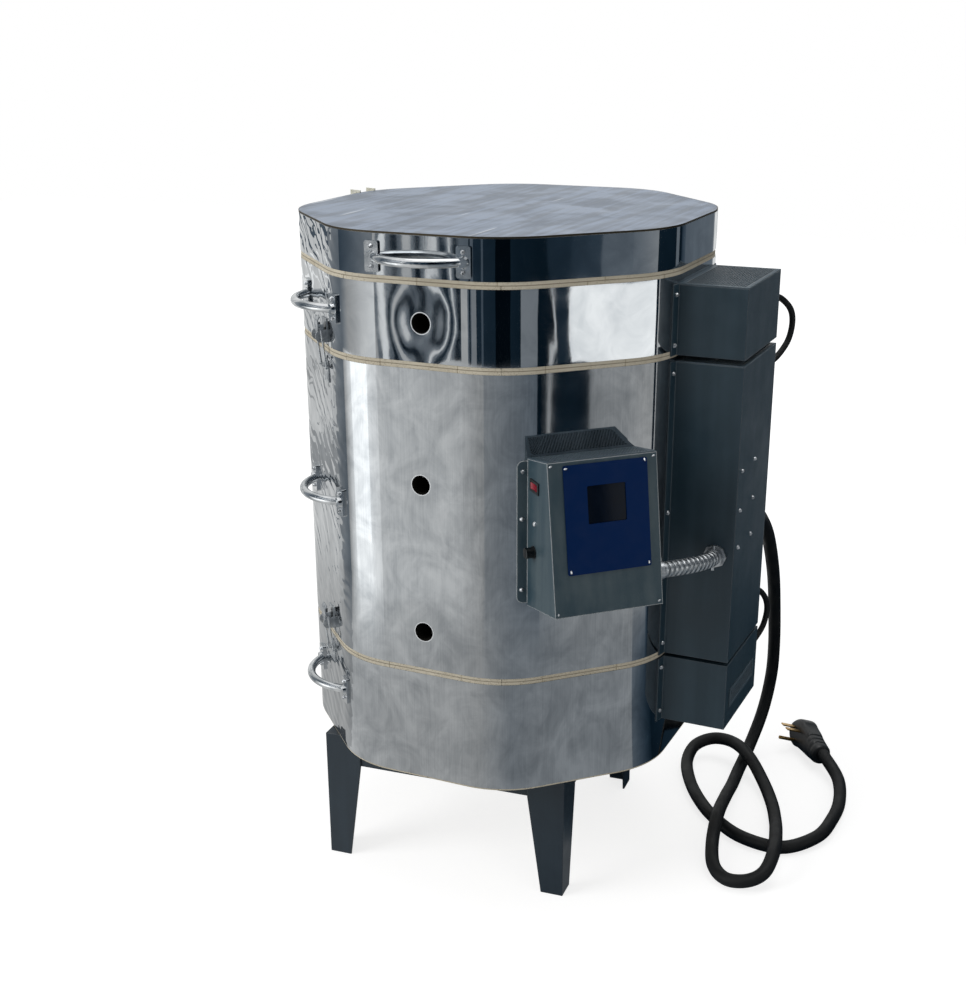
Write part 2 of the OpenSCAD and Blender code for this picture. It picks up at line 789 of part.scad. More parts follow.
// Closed tube along a line, with one radius for each of its points
module tube(line, radii, sides) {
    tangent = tangents(line);
    normal = normals(tangent);
    rings = len(line);
    points = [
        for (i = [0 : rings - 1]) for (k = [0 : sides - 1])
            let (side = cross(tangent[i], normal[i]), a = 360 * k / sides)
            line[i] + radii[i] * (cos(a) * normal[i] + sin(a) * side)
    ];
    walls = [
        for (i = [0 : rings - 2]) for (k = [0 : sides - 1])
            let (a = i * sides + k, b = i * sides + (k + 1) % sides)
            each [[a, a + sides, b], [b, a + sides, b + sides]]
    ];
    start = [for (k = [1 : sides - 2]) [0, k, k + 1]];
    base = (rings - 1) * sides;
    end = [for (k = [1 : sides - 2]) [base, base + k + 1, base + k]];
    polyhedron(points, concat(walls, start, end));
}

// Open hose along a line: a ribbed outside around a plain bore
module hose(line, radii, bore_r, sides) {
    tangent = tangents(line);
    normal = normals(tangent);
    rings = len(line);
    points = [
        for (inner = [0, 1]) for (i = [0 : rings - 1]) for (k = [0 : sides - 1])
            let (side = cross(tangent[i], normal[i]), a = 360 * k / sides, r = inner == 1 ? bore_r : radii[i])
            line[i] + r * (cos(a) * normal[i] + sin(a) * side)
    ];
    bore = rings * sides;
    walls = [
        for (i = [0 : rings - 2]) for (k = [0 : sides - 1])
            let (a = i * sides + k, b = i * sides + (k + 1) % sides)
            each [
                [a, a + sides, b], [b, a + sides, b + sides],
                [bore + a, bore + b, bore + a + sides], [bore + b, bore + b + sides, bore + a + sides]
            ]
    ];
    ends = [
        for (i = [0, rings - 1]) for (k = [0 : sides - 1])
            let (a = i * sides + k, b = i * sides + (k + 1) % sides)
            each i == 0 ? [[a, b, bore + a], [b, bore + b, bore + a]] : [[a, bore + a, b], [b, bore + a, bore + b]]
    ];
    polyhedron(points, concat(walls, ends));
}

module plain_cord(route, d, steps, sides) {
    line = smooth(route, steps);
    tube(line, [for (p = line) d / 2], sides);
}

module power_cord() { color("#14181b") plain_cord(power_route, cord_d, 1, 10); }

module jumper_cords() {
    color("#14181b") for (route = [upper_jumper_route, lower_jumper_route])
        plain_cord(route, jumper_d, 2, 8);
}

// Ring nut and dome of a cord gland, along +Y from the wall
module gland(d) {
    rotate([-90, 0, 0]) {
        cylinder(d = d + 16, h = 8, $fn = 6);
        translate([0, 0, 8]) cylinder(d1 = d + 13, d2 = d + 5, h = 8);
    }
}

wall_y = box_w / 2;

module cord_glands() {
    color("#1b2023") {
        translate([power_route[0].x, wall_y, power_route[0].z]) rotate([-90, 0, 0]) {
            cylinder(d = cord_d + 16, h = 12, $fn = 6);
            translate([0, 0, 12]) cylinder(d1 = cord_d + 14, d2 = cord_d + 6, h = power_route[0].y - wall_y - 12);
        }
        for (route = [upper_jumper_route, lower_jumper_route], end = [route[0], route[len(route) - 1]])
            translate([end.x, wall_y, end.z]) gland(jumper_d);
    }
}

// Angle plug: the cord runs into its neck along X and the blades point along Y
plug_end = power_route[len(power_route) - 1];
plug_from = power_route[len(power_route) - 2];
plug_angle = atan2(plug_end.y - plug_from.y, plug_end.x - plug_from.x);
plug_tilt = 18;
plug_head_x = 84;
plug_head_d = 54;
plug_head_t = 37;
plug_neck_l = 62;
plug_front = 15;

module at_plug() {
    translate(plug_end) rotate([0, 0, plug_angle]) rotate([plug_tilt, 0, 0]) children();
}

module plug_body() {
    rim_t = 9;
    color("#16191c") at_plug() {
        translate([0, 0, -3]) rotate([0, 90, 0]) cylinder(d1 = cord_d + 15, d2 = plug_head_d - 5, h = plug_neck_l);
        translate([plug_head_x, plug_front, 0]) rotate([90, 0, 0]) {
            cylinder(d = plug_head_d, h = rim_t);
            translate([0, 0, rim_t]) cylinder(d = plug_head_d - 3, h = plug_head_t - rim_t);
        }
        translate([plug_neck_l - 4, plug_front - plug_head_t + 1, -plug_head_d / 2 + 4])
            cube([20, plug_head_t - 4, plug_head_d - 8]);
    }
}

blade_l = 27;
blade_w = 10;
blade_t = 2.4;
blade_pitch = 19;

// Two flat blades in line with the neck and a round earth pin below them
module plug_blades() {
    color("#c9a56a") at_plug() translate([plug_head_x, plug_front, 0]) {
        for (side = [-1, 1]) translate([side * blade_pitch / 2 - blade_w / 2, 0, 6]) cube([blade_w, blade_l, blade_t]);
        translate([-2, 0, -15]) rotate([-90, 0, 0]) cylinder(d = 6.4, h = blade_l + 3);
    }
}

// Control box on face 1

// Places children in the frame of the sloping front: X to the right, Z up along it,
// Y inwards, with the origin in the middle of the upper front edge
module at_control() {
    on_face(1, control_z) translate([control_shift, -control_depth, 0])
        rotate([-control_tilt, 0, 0]) children();
}

control_z_top = control_z - control_depth * tan(control_tilt);
control_z_bottom = control_z - control_l * cos(control_tilt)
    - (control_depth + control_l * sin(control_tilt)) * tan(control_tilt);
control_inner = control_depth + control_l;

// Centre of the panel, measured down the sloping front from its upper edge
panel_down = 82;
window_down = 63.5;
panel_x = -control_shift - 0.4;

module control_shell() {
    difference() {
        translate([-control_w / 2, 0, -control_l]) cube([control_w, control_inner, control_l - sheet_t]);
        translate([-control_w / 2 + sheet_t, sheet_t, -control_l + sheet_t])
            cube([control_w - 2 * sheet_t, control_inner, control_l]);
        translate([panel_x - panel_w / 2 + 10, -1, -panel_down - panel_l / 2 + 10])
            cube([panel_w - 20, sheet_t + 2, panel_l - 20]);
    }
}

module control_flanges() {
    z = control_z_bottom + 4;
    h = control_z_top - control_z_bottom - 8;
    on_face(1) intersection() {
        wrapped_sheet(sheet_t, z, h);
        translate([control_shift, 40, z + h / 2]) rotate([90, 0, 0]) linear_extrude(80) difference() {
            round_rect(control_w + 2 * flange_w, h, 9);
            square([control_w - 2 * sheet_t, h + 2], center = true);
        }
    }
}

rocker_depth = 26.5;
rocker_z = control_z - 45.5;
fuse_depth = 24;
fuse_z = control_z - 141;
side_x = control_shift - control_w / 2;

// Places children on the left side of the control box, pointing outwards along -X
module on_control_side(depth, z) {
    on_face(1, z) translate([side_x, -depth, 0]) children();
}

conduit_depth = 70;
conduit_z = 570;
conduit_neck = 6;
conduit_grip = 7;
conduit_bend = 32;
control_side = control_shift + control_w / 2;
box_port_depth = 71;
box_port_z = 561;

module control_box() {
    color("#5d686b") {
        difference() {
            at_control() control_shell();
            on_face(1) inside_jacket(control_z_bottom - 60, control_l + 120);
            on_control_side(rocker_depth, rocker_z)
                cube([20, rocker_l + 1, rocker_h + 1], center = true);
            on_control_side(fuse_depth, fuse_z)
                rotate([0, 90, 0]) cylinder(d = 12, h = 20, center = true);
        }
        control_flanges();
    }
}

module control_vent_panel() {
    color("#39444a") difference() {
        at_control() translate([0, 0, -sheet_t]) linear_extrude(sheet_t) difference() {
            translate([-control_w / 2, 0]) square([control_w, control_depth + 20]);
            translate([0, control_depth]) vent_holes_2d(control_w, control_depth);
        }
        on_face(1) inside_jacket(control_z - control_depth, 2 * control_depth);
    }
}

panel_t = 1.6;

module control_panel() {
    color("#0a1f4d") at_control() translate([panel_x, 0, -panel_down]) rotate([90, 0, 0])
        linear_extrude(panel_t) difference() {
            round_rect(panel_w, panel_l, 3);
            translate([0, panel_down - window_down]) round_rect(window_w, window_l, 2);
        }
}

module controller_board() {
    color("#12301f") at_control() translate([panel_x, 0, 0]) {
        translate([-window_w / 2 + 0.4, 0, -window_down - window_l / 2 + 0.4])
            cube([window_w - 0.8, 9, window_l - 0.8]);
        translate([-panel_w / 2 + 14, 9, -panel_down - panel_l / 2 + 14])
            cube([panel_w - 28, 1.6, panel_l - 28]);
    }
}

module transformer() {
    color("#6b5a3c") on_face(1, control_z_bottom + 40) translate([control_shift + 20, 0, 0]) {
        translate([-22, -38, 0]) cube([44, 38, 36]);
        translate([-13, -50, 5]) cube([26, 12 + eps, 26]);
    }
}

module switch_and_fuse_bodies() {
    color("#101314") {
        switch_body();
        fuse_holder();
    }
}

module switch_body() {
    on_control_side(rocker_depth, rocker_z) difference() {
        union() {
            translate([-2, -rocker_l / 2 - 2, -rocker_h / 2 - 2]) cube([2, rocker_l + 4, rocker_h + 4]);
            translate([-eps, -rocker_l / 2, -rocker_h / 2]) cube([18, rocker_l, rocker_h]);
        }
        translate([-3, -rocker_l / 2 + 1.5, -rocker_h / 2 + 1.5]) cube([16, rocker_l - 3, rocker_h - 3]);
    }
}

rocker_pivot = 3;
rocker_r = rocker_l / 2 - 2.2;
dish_r = 30;

// Rocker: a slice of a drum, clipped at the back and dished at the front
module power_rocker() {
    color("#a3182a") on_control_side(rocker_depth, rocker_z) translate([rocker_pivot, 0, 0])
        intersection() {
            difference() {
                cylinder(r = rocker_r, h = rocker_h - 4, center = true);
                translate([-dish_r - 4.5, 0, 0]) cylinder(r = dish_r, h = rocker_h, center = true);
            }
            translate([-7, -rocker_l / 2, -rocker_h / 2]) cube([13, rocker_l, rocker_h]);
        }
}

module fuse_holder() {
    on_control_side(fuse_depth, fuse_z) rotate([0, 90, 0]) {
        translate([0, 0, -2]) cylinder(d = 18, h = 2);
        cylinder(d = 11.6, h = 30);
    }
}

module fuse_cap() {
    color("#15191b") on_control_side(fuse_depth, fuse_z) translate([-2.1, 0, 0]) rotate([0, -90, 0])
        difference() {
            cylinder(d = fuse_cap_d, h = 11);
            translate([-fuse_cap_d, -1, 9.5]) cube([2 * fuse_cap_d, 2, 3]);
        }
}

// The conduit leaves the control box squarely and enters the main wiring box squarely
conduit_start = [
    (jacket_a + conduit_depth + control_side + conduit_neck) * cos(45),
    (control_side + conduit_neck - jacket_a - conduit_depth) * cos(45),
    conduit_z
];
conduit_end = [jacket_a + box_port_depth, -box_w / 2 - conduit_neck, box_port_z];
conduit_line = [
    for (i = [0 : 2 * conduit_ribs])
        let (
            t = i / (2 * conduit_ribs),
            a = conduit_start, b = conduit_start + conduit_bend * [cos(45), cos(45), 0],
            c = conduit_end - [0, conduit_bend, 0], d = conduit_end
        )
        pow(1 - t, 3) * a + 3 * t * pow(1 - t, 2) * b + 3 * t * t * (1 - t) * c + t * t * t * d
];
conduit_rib = 1.6;

module conduit() {
    color("#9ba1a5") hose(
        conduit_line,
        [for (i = [0 : 2 * conduit_ribs]) conduit_d / 2 - (i % 2 == 0 ? conduit_rib : 0)],
        conduit_d / 2 - conduit_rib - 1.2,
        10
    );
}

// Screw-clamp connector whose mouth lies at the origin and whose wall lies behind it
module conduit_connector() {
    rotate([0, 90, 0]) {
        difference() {
            translate([0, 0, -conduit_neck]) cylinder(d = conduit_d + 5, h = conduit_neck + conduit_grip);
            cylinder(d = conduit_d + 0.4, h = conduit_grip + 1);
        }
        translate([0, 0, -conduit_neck]) cylinder(d = conduit_d + 13, h = 4, $fn = 8);
    }
    for (side = [-1, 1]) translate([4, 0, side * (conduit_d / 2 + 2)]) rotate([side > 0 ? 0 : 180, 0, 0])
        cylinder(d = 5, h = 6);
}

module conduit_connectors() {
    color("#a9aeb2") {
        translate(conduit_start) rotate([0, 0, 45]) conduit_connector();
        translate(conduit_end) rotate([0, 0, -90]) conduit_connector();
    }
}

// Ceramic tube with a flange and a head that sit on the jacket inside the control box
module thermocouple() {
    color("#ded6c6") on_face(1, thermocouple_z) rotate([-90, 0, 0]) {
        cylinder(d = thermocouple_d, h = brick_t + 25);
        translate([0, 0, -4]) cylinder(d = 26, h = 4);
        translate([0, 0, -22]) cylinder(d = 18, h = 18 + eps);
    }
}

flange_x = box_w / 2 + flange_w / 2;

module flange_screws() {
    for (side = [-1, 1]) on_curve(side * flange_x, sheet_t) {
        for (k = [0.15, 0.85]) translate([0, 0, upper_box_z + k * upper_box_h]) screw_head();
        for (k = [0.04, 0.5, 0.96]) translate([0, 0, main_box_z + k * main_box_h]) screw_head();
        for (k = [0.15, 0.85]) translate([0, 0, lower_box_z + k * lower_box_h]) screw_head();
    }
}

control_flange_z = [for (k = [0.143, 0.465, 0.956]) control_z - k * control_l];

module control_flange_screws() {
    for (side = [-1, 1], z = control_flange_z)
        on_curve(control_shift + side * (control_w / 2 + flange_w / 2), sheet_t)
            translate([0, 0, z]) screw_head();
}

// Screws of the blue panel and of the front cover
module control_front_screws() {
    for (x = [-1, 1], z = [-1, 1])
        translate([panel_x + x * (panel_w / 2 - 4), -panel_t, -panel_down + z * (panel_l / 2 - 4)])
            screw_head(small_screw_d);
    for (x = [-1, 1], z = [-6, 6 - control_l]) translate([x * (control_w / 2 - 5), 0, z])
        screw_head(small_screw_d);
}

module outer_box_screws() {
    for (x = [0, -0.39 * box_w], k = [0.655, 0.521, 0.394])
        translate([x, -box_depth, main_box_z + k * main_box_h]) screw_head();
}

module case_screws() {
    color("#cfd3d6") {
        for (face = [3, 7]) {
            on_face(face, top_handle_z) handle_screws(top_handle_shift);
            on_face(face, main_handle_z) handle_screws(main_handle_shift);
            on_face(face, bottom_handle_z) handle_screws(bottom_handle_shift);
        }
        on_face(2) flange_screws();
        on_face(2) outer_box_screws();
        on_face(1) control_flange_screws();
        at_control() control_front_screws();
        on_face(4, z_lid) for (z = [0.3, 0.8]) hinge_leaf_screws(-knuckle_d / 2 - z * body_leaf_h);
    }
}

floor_slab();
bottom_brick_ring();
main_brick_wall();
top_brick_ring();
bottom_jacket();
main_jacket();
top_jacket();
heating_elements();
thermocouple();
stand_frame();
leg_front_left();
leg_front_right();
leg_rear_right();
leg_rear_left();
top_handle_left();
main_handle_left();
bottom_handle_left();
top_handle_right();
main_handle_right();
bottom_handle_right();
case_screws();
latch_plates();
upper_left_latch_lever();
upper_right_latch_lever();
upper_left_latch_bail();
upper_right_latch_bail();
lower_left_latch_lever();
lower_right_latch_lever();
lower_left_latch_bail();
lower_right_latch_bail();
hinge_body_leaf();
hinge_pin();
hinge_lid_leaf();
lid_slab();
lid_band();
lid_cover();
lid_clamp();
lid_handle();
lid_screws();
upper_wiring_box();
main_wiring_box();
lower_wiring_box();
box_vent_panels();
terminal_blocks();
relays();
cord_glands();
jumper_cords();
power_cord();
plug_body();
plug_blades();
control_box();
control_vent_panel();
control_panel();
controller_board();
transformer();
switch_and_fuse_bodies();
power_rocker();
fuse_cap();
conduit();
conduit_connectors();
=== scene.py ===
"""Finishes, cords and fine parts of a top-loading electric kiln, built around its solid model."""
import math

import bmesh
import bpy
from bpy.props import FloatProperty, FloatVectorProperty, IntProperty, PointerProperty
from bpy.types import Operator, Panel, PropertyGroup
from mathutils import Matrix, Vector


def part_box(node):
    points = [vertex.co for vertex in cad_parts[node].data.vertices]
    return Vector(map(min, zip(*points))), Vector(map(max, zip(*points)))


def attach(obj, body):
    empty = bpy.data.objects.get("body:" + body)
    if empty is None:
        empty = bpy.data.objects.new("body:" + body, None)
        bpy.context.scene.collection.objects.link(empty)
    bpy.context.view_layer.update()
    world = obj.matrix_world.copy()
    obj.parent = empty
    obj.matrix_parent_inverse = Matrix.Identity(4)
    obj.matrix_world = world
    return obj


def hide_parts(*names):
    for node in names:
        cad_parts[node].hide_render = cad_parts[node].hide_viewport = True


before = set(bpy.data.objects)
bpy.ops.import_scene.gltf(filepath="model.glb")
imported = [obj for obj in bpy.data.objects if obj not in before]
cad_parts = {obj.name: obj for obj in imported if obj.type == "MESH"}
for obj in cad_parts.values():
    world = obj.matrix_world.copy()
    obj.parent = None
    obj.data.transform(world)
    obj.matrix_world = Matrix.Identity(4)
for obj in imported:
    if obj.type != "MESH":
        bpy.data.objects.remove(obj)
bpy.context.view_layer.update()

bl_info = {
    "name": "Electric Kiln",
    "version": (1, 0, 0),
    "blender": (4, 5, 0),
    "location": "View3D > Sidebar > Kiln",
    "description": "Finishes, cords and fine parts of a top-loading electric kiln",
    "category": "Object",
}

# The jacket's flats stand this far from the kiln's axis, in metres
JACKET_REACH = 0.29845
# Half the width of a flat, and the radius of the round corners between two flats
FLAT_HALF = 0.0656
CORNER_RADIUS = 0.140
# Where the sections and the lid meet, as heights above the feet
JOINT_HEIGHTS = (0.3958, 0.8530, 0.9673)
# Axes of the peepholes, as X and Z
PEEPHOLES = ((0.0, 0.4584), (0.0, 0.6825), (0.005, 0.9113))
PEEPHOLE_RADIUS, RIM_WIDTH = 0.0143, 0.0009
# Height of the lid band's upper edge
COVER_EDGE = 1.0300

# Bricks: height of a ring and width of a slab's row, length of a slab's brick, and how many go round the kiln
BRICK_HEIGHT, BRICK_LENGTH, BRICKS_ROUND = 0.1143, 0.2286, 16

# Wiring boxes: half width, depth in front of the jacket, and the heights of their perforated tops
BOX_HALF, BOX_DEPTH, BOX_TOPS = 0.086, 0.0985, (0.9508, 0.8425)
# Control box: the same of its top's front edge, its place beside the face's middle, and its tilt in degrees
CONTROL_HALF, CONTROL_DEPTH, CONTROL_TOP = 0.08075, 0.067, 0.7445
CONTROL_SHIFT, CONTROL_TILT = -0.0036, 9.9
# Thickness of the perforated sheets and the louvre's frame
SHEET = 0.0015
# The one screw in the control box's left side: its place in front of the jacket and above the feet, and its
# head's foot and rim: how far out from the side, and radius
SIDE_SCREW_DEPTH, SIDE_SCREW_Z, SIDE_SCREW = 0.0265, 0.646, ((0.0, 0.0040), (0.0018, 0.0034))
LOUVRE_WIDTH, LOUVRE_HEIGHT, LOUVRE_FOOT = 0.130, 0.030, 0.31215

# Cards round the kiln that only glossy surfaces see, as a studio sets them round bright steel: from and to
# which angle (degrees from the front, towards +X), from and to which height, and the tone at either end
CARD_RADIUS = 1.6
CARDS = (
    (-136, -92, 0.0, 2.2, 0.88, 0.72), (-92, -72, 0.0, 2.2, 0.40, 0.30),
    (-72, -60, 0.0, 0.56, 0.45, 1.40), (-60, -38, 0.12, 0.56, 1.90, 2.10), (-60, -38, 0.0, 0.12, 1.70, 1.60),
    (-38, -28, 0.0, 0.56, 1.50, 1.05), (-72, -28, 0.56, 0.74, 0.30, 1.05), (-72, -28, 0.74, 2.2, 0.16, 0.36),
    (-28, -18, 0.0, 0.56, 0.98, 0.70), (-18, 4, 0.0, 0.56, 0.70, 0.48), (4, 61.5, 0.0, 0.56, 0.42, 0.26),
    (-28, -6, 0.56, 2.2, 0.30, 0.24), (-6, 61.5, 0.56, 2.2, 0.08, 0.03),
    (61.5, 98, 0.0, 0.56, 0.45, 0.52), (61.5, 98, 0.56, 0.74, 1.45, 1.50), (61.5, 66, 0.74, 2.2, 0.08, 0.14),
    (66, 98, 0.74, 2.2, 0.26, 0.40),
    (98, 140, 0.0, 2.2, 0.05, 0.04), (140, 160, 0.0, 2.2, 0.10, 0.35),
    (160, 224, 0.0, 2.4, 0.95, 0.85),
)
# Narrow cards in front of them, which the flat faces show as upright stripes
STRIPS = (
    (-136, -92, 0.60, 0.63, 0.44), (-136, -92, 0.68, 0.70, 1.20), (-136, -92, 0.80, 0.83, 0.20),
    (-136, -92, 0.88, 0.90, 1.20), (-136, -92, 0.95, 1.00, 0.22),
    (-136, -92, 0.44, 0.47, 0.48), (-136, -92, 0.20, 0.30, 0.45), (-103, -101, 0.0, 2.2, 0.30),
    (-27.2, -25.7, 0.56, 2.2, 0.60), (-25.2, -24.7, 0.56, 2.2, 1.20), (-24.3, -23.9, 0.56, 2.2, 0.05),
    (-23.5, -22.9, 0.56, 2.2, 0.70), (-22.6, -22.2, 0.56, 2.2, 0.04), (-21.8, -21.5, 0.56, 2.2, 1.10),
    (-21.1, -20.5, 0.56, 2.2, 0.07), (-20.1, -19.8, 0.56, 2.2, 1.00), (-19.4, -18.9, 0.56, 2.2, 0.04),
    (-16.0, -12.0, 0.56, 0.74, 0.60), (-10.5, -9.0, 0.56, 2.2, 0.05), (-8.0, -3.0, 0.56, 0.74, 0.38),
    (2.0, 4.0, 0.56, 2.2, 0.20), (16.0, 30.0, 0.56, 2.2, 0.012),
    (40.0, 55.5, 0.56, 0.74, 0.36), (55.5, 61.68, 0.0, 2.2, 0.035), (61.68, 61.88, 0.0, 0.74, 0.95),
    (61.88, 63.5, 0.0, 0.56, 0.04), (61.88, 63.5, 0.56, 2.2, 0.08), (63.5, 65.1, 0.0, 0.56, 0.045),
    (101.0, 106.0, 0.0, 0.74, 0.65), (128.0, 134.0, 0.0, 2.2, 0.30), (176.0, 183.0, 0.0, 2.2, 0.20),
)
# From this distance outwards the floor's cards turn into the tone of the wall behind them
FLOOR_BLEND = 0.9
# Grey cards on the floor in front of and beside the kiln: from and to which angle, and the tone at either end
FLOOR_CARDS = ((-136, -72, 0.60, 0.48), (-72, -20, 0.72, 0.60), (-20, 30, 0.58, 0.38), (30, 80, 0.38, 0.42),
               (80, 104, 0.26, 0.05), (104, 160, 0.04, 0.08), (160, 224, 0.60, 0.70))

# The lead's route from its gland down to the floor and round to its plug, in metres
LEAD_ROUTE = [
    (0.368, 0.116, 0.556), (0.368, 0.138, 0.556), (0.364, 0.195, 0.532), (0.365, 0.25, 0.482),
    (0.364, 0.307, 0.4), (0.359, 0.357, 0.313), (0.353, 0.4, 0.223), (0.347, 0.419, 0.151),
    (0.337, 0.411, 0.078), (0.326, 0.363, 0.021), (0.328, 0.294, 0.012), (0.336, 0.225, 0.02),
    (0.343, 0.156, 0.032), (0.35, 0.086, 0.036), (0.362, 0.017, 0.022),
    (0.381, -0.037, 0.014), (0.41, -0.064, 0.012), (0.444, -0.064, 0.018), (0.466, -0.047, 0.03),
    (0.468, 0.001, 0.042), (0.454, 0.069, 0.036), (0.437, 0.135, 0.019), (0.415, 0.2, 0.012),
    (0.384, 0.258, 0.019), (0.344, 0.305, 0.039), (0.305, 0.338, 0.044), (0.264, 0.35, 0.038),
    (0.236, 0.328, 0.028), (0.234, 0.287, 0.015), (0.257, 0.228, 0.012), (0.292, 0.168, 0.012),
    (0.336, 0.115, 0.012), (0.395, 0.072, 0.012), (0.465, 0.066, 0.012), (0.511, 0.119, 0.014),
    (0.522, 0.189, 0.014), (0.519, 0.259, 0.013), (0.501, 0.327, 0.018), (0.466, 0.373, 0.032),
    (0.459, 0.382, 0.032),
]
# Routes of the two short leads, from the gland of one wiring box to that of the next
JUMPER_ROUTES = {
    "upper_jumper_lead": [
        (0.378, 0.102, 0.905), (0.378, 0.109, 0.905), (0.378, 0.116, 0.905), (0.386, 0.142, 0.898),
        (0.397, 0.16, 0.88), (0.4, 0.166, 0.858), (0.397, 0.158, 0.832), (0.387, 0.138, 0.811),
        (0.378, 0.116, 0.803), (0.378, 0.109, 0.803), (0.378, 0.102, 0.803),
    ],
    "lower_jumper_lead": [
        (0.378, 0.102, 0.436), (0.378, 0.109, 0.436), (0.378, 0.116, 0.436), (0.384, 0.138, 0.428),
        (0.391, 0.152, 0.41), (0.393, 0.157, 0.388), (0.39, 0.15, 0.364), (0.383, 0.134, 0.347),
        (0.378, 0.116, 0.34), (0.378, 0.109, 0.34), (0.378, 0.102, 0.34),
    ],
}
# The conduit's two ends, and how far it runs straight on from them before it bends
CONDUIT_START = Vector((0.31933, -0.20174, 0.570))
CONDUIT_END = Vector((0.36945, -0.092, 0.561))
CONDUIT_BEND = 0.032


def linear(code):
    """Linear RGBA of an sRGB hex colour."""
    parts = [int(code[i:i + 2], 16) / 255 for i in (0, 2, 4)]
    return tuple(c / 12.92 if c <= 0.04045 else ((c + 0.055) / 1.055) ** 2.4 for c in parts) + (1.0,)


def per_metre(size_mm):
    """Pattern scale whose features are about size_mm wide."""
    return 1000.0 / size_mm


def add(tree, kind, inputs=(), **settings):
    """Adds a node with its settings. Inputs go by name or number, or in order from the first, and a node
    given for one stands for its first output in use."""
    node = tree.nodes.new("ShaderNode" + kind)
    for key, value in settings.items():
        setattr(node, key, value)
    for key, value in inputs.items() if isinstance(inputs, dict) else enumerate(inputs):
        if isinstance(value, bpy.types.Node):
            value = next(socket for socket in value.outputs if socket.enabled)
        if isinstance(value, bpy.types.NodeSocket):
            tree.links.new(value, node.inputs[key])
        else:
            node.inputs[key].default_value = value
    return node


def begin(name):
    """A new material with its node tree and the position on the object, in metres."""
    mat = bpy.data.materials.new(name)
    mat.use_nodes = True
    mat.node_tree.nodes.clear()
    return mat, mat.node_tree, add(mat.node_tree, "TexCoord").outputs["Object"]


def close(tree, inputs):
    """Ends a material with its shader."""
    shader = add(tree, "BsdfPrincipled", inputs)
    add(tree, "OutputMaterial", {"Surface": shader})


def tint(tree, share, colour, other):
    """Blends a colour into another, by a share given as a value, its range and the shares at either end."""
    part = add(tree, "MapRange", share)
    return add(tree, "Mix", {0: part, 6: colour, 7: other}, data_type="RGBA")


def bore_distance(tree, where):
    """Distance from the axis of the nearest peephole, in metres."""
    apart = add(tree, "SeparateXYZ", {"Vector": where})
    behind = add(tree, "Math", (apart.outputs["Y"], 0.0), operation="MAXIMUM")
    flat = add(tree, "CombineXYZ", (apart.outputs["X"], behind, apart.outputs["Z"]))
    nearest = 1.0
    for x, z in PEEPHOLES:
        away = add(tree, "VectorMath", (flat, (x, 0.0, z)), operation="DISTANCE")
        nearest = add(tree, "Math", (away, nearest), operation="MINIMUM")
    return nearest


def sheet_relief(tree, where, wave_mm, wave_height, fine, fine_share):
    """Bumps of thin sheet: long waves, dents round the peepholes and crinkles in the left face."""
    upright = add(tree, "Mapping", {"Vector": where, "Scale": (1.0, 1.0, 0.35)})
    long_wave = add(tree, "TexNoise", {"Vector": upright, "Scale": per_metre(wave_mm), "Detail": 1.2,
                                       "Distortion": 0.5})
    wave = add(tree, "Bump", {"Height": long_wave, "Distance": wave_height})
    pull = add(tree, "TexNoise", {"Vector": where, "Scale": per_metre(70), "Detail": 1.0})
    pulled = add(tree, "VectorMath", (pull.outputs["Color"], (0.02, 0.02, 0.02), where),
                 operation="MULTIPLY_ADD")
    centred = add(tree, "VectorMath", (pulled, (0.01, 0.01, 0.01)), operation="SUBTRACT")
    dent = add(tree, "MapRange", (bore_distance(tree, centred), 0.006, 0.062),
               interpolation_type="SMOOTHERSTEP")
    dented = add(tree, "Bump", {"Height": dent, "Normal": wave, "Strength": 0.8, "Distance": 0.0007})
    # The crinkles, 24 mm apart, run up to the right and fade out where the left face turns away
    side = add(tree, "VectorMath", (where, (-math.sqrt(0.5), -math.sqrt(0.5), 0.0)), operation="DOT_PRODUCT")
    left = add(tree, "MapRange", (side, JACKET_REACH - 0.00695, JACKET_REACH - 0.00045))
    climb = add(tree, "VectorMath", (where, (0.42, -0.42, 0.80)), operation="DOT_PRODUCT")
    drift = add(tree, "TexNoise", {"Vector": where, "Scale": per_metre(70), "Detail": 2.5})
    sway = add(tree, "Math", (drift, 22.0), operation="MULTIPLY")
    phase = add(tree, "Math", (climb, 2 * math.pi * per_metre(24), sway), operation="MULTIPLY_ADD")
    crest = add(tree, "Math", (phase,), operation="SINE")
    crinkle = add(tree, "Math", (crest, left), operation="MULTIPLY")
    crinkled = add(tree, "Bump", {"Height": crinkle, "Normal": dented, "Distance": 0.00022})
    return add(tree, "Bump", {"Height": fine, "Normal": crinkled, "Strength": fine_share, "Distance": 0.0002})


def with_drilled_rim(tree, where, colour):
    """Adds the bare bright rim of the drilled peepholes to a colour, and gives its share as well."""
    band = add(tree, "MapRange", (bore_distance(tree, where), PEEPHOLE_RADIUS + RIM_WIDTH,
                                  PEEPHOLE_RADIUS + RIM_WIDTH + 0.0005, 1.0, 0.0))
    mixed = add(tree, "Mix", {0: band, 6: colour, 7: linear("e4e6e8")}, data_type="RGBA")
    return mixed, band


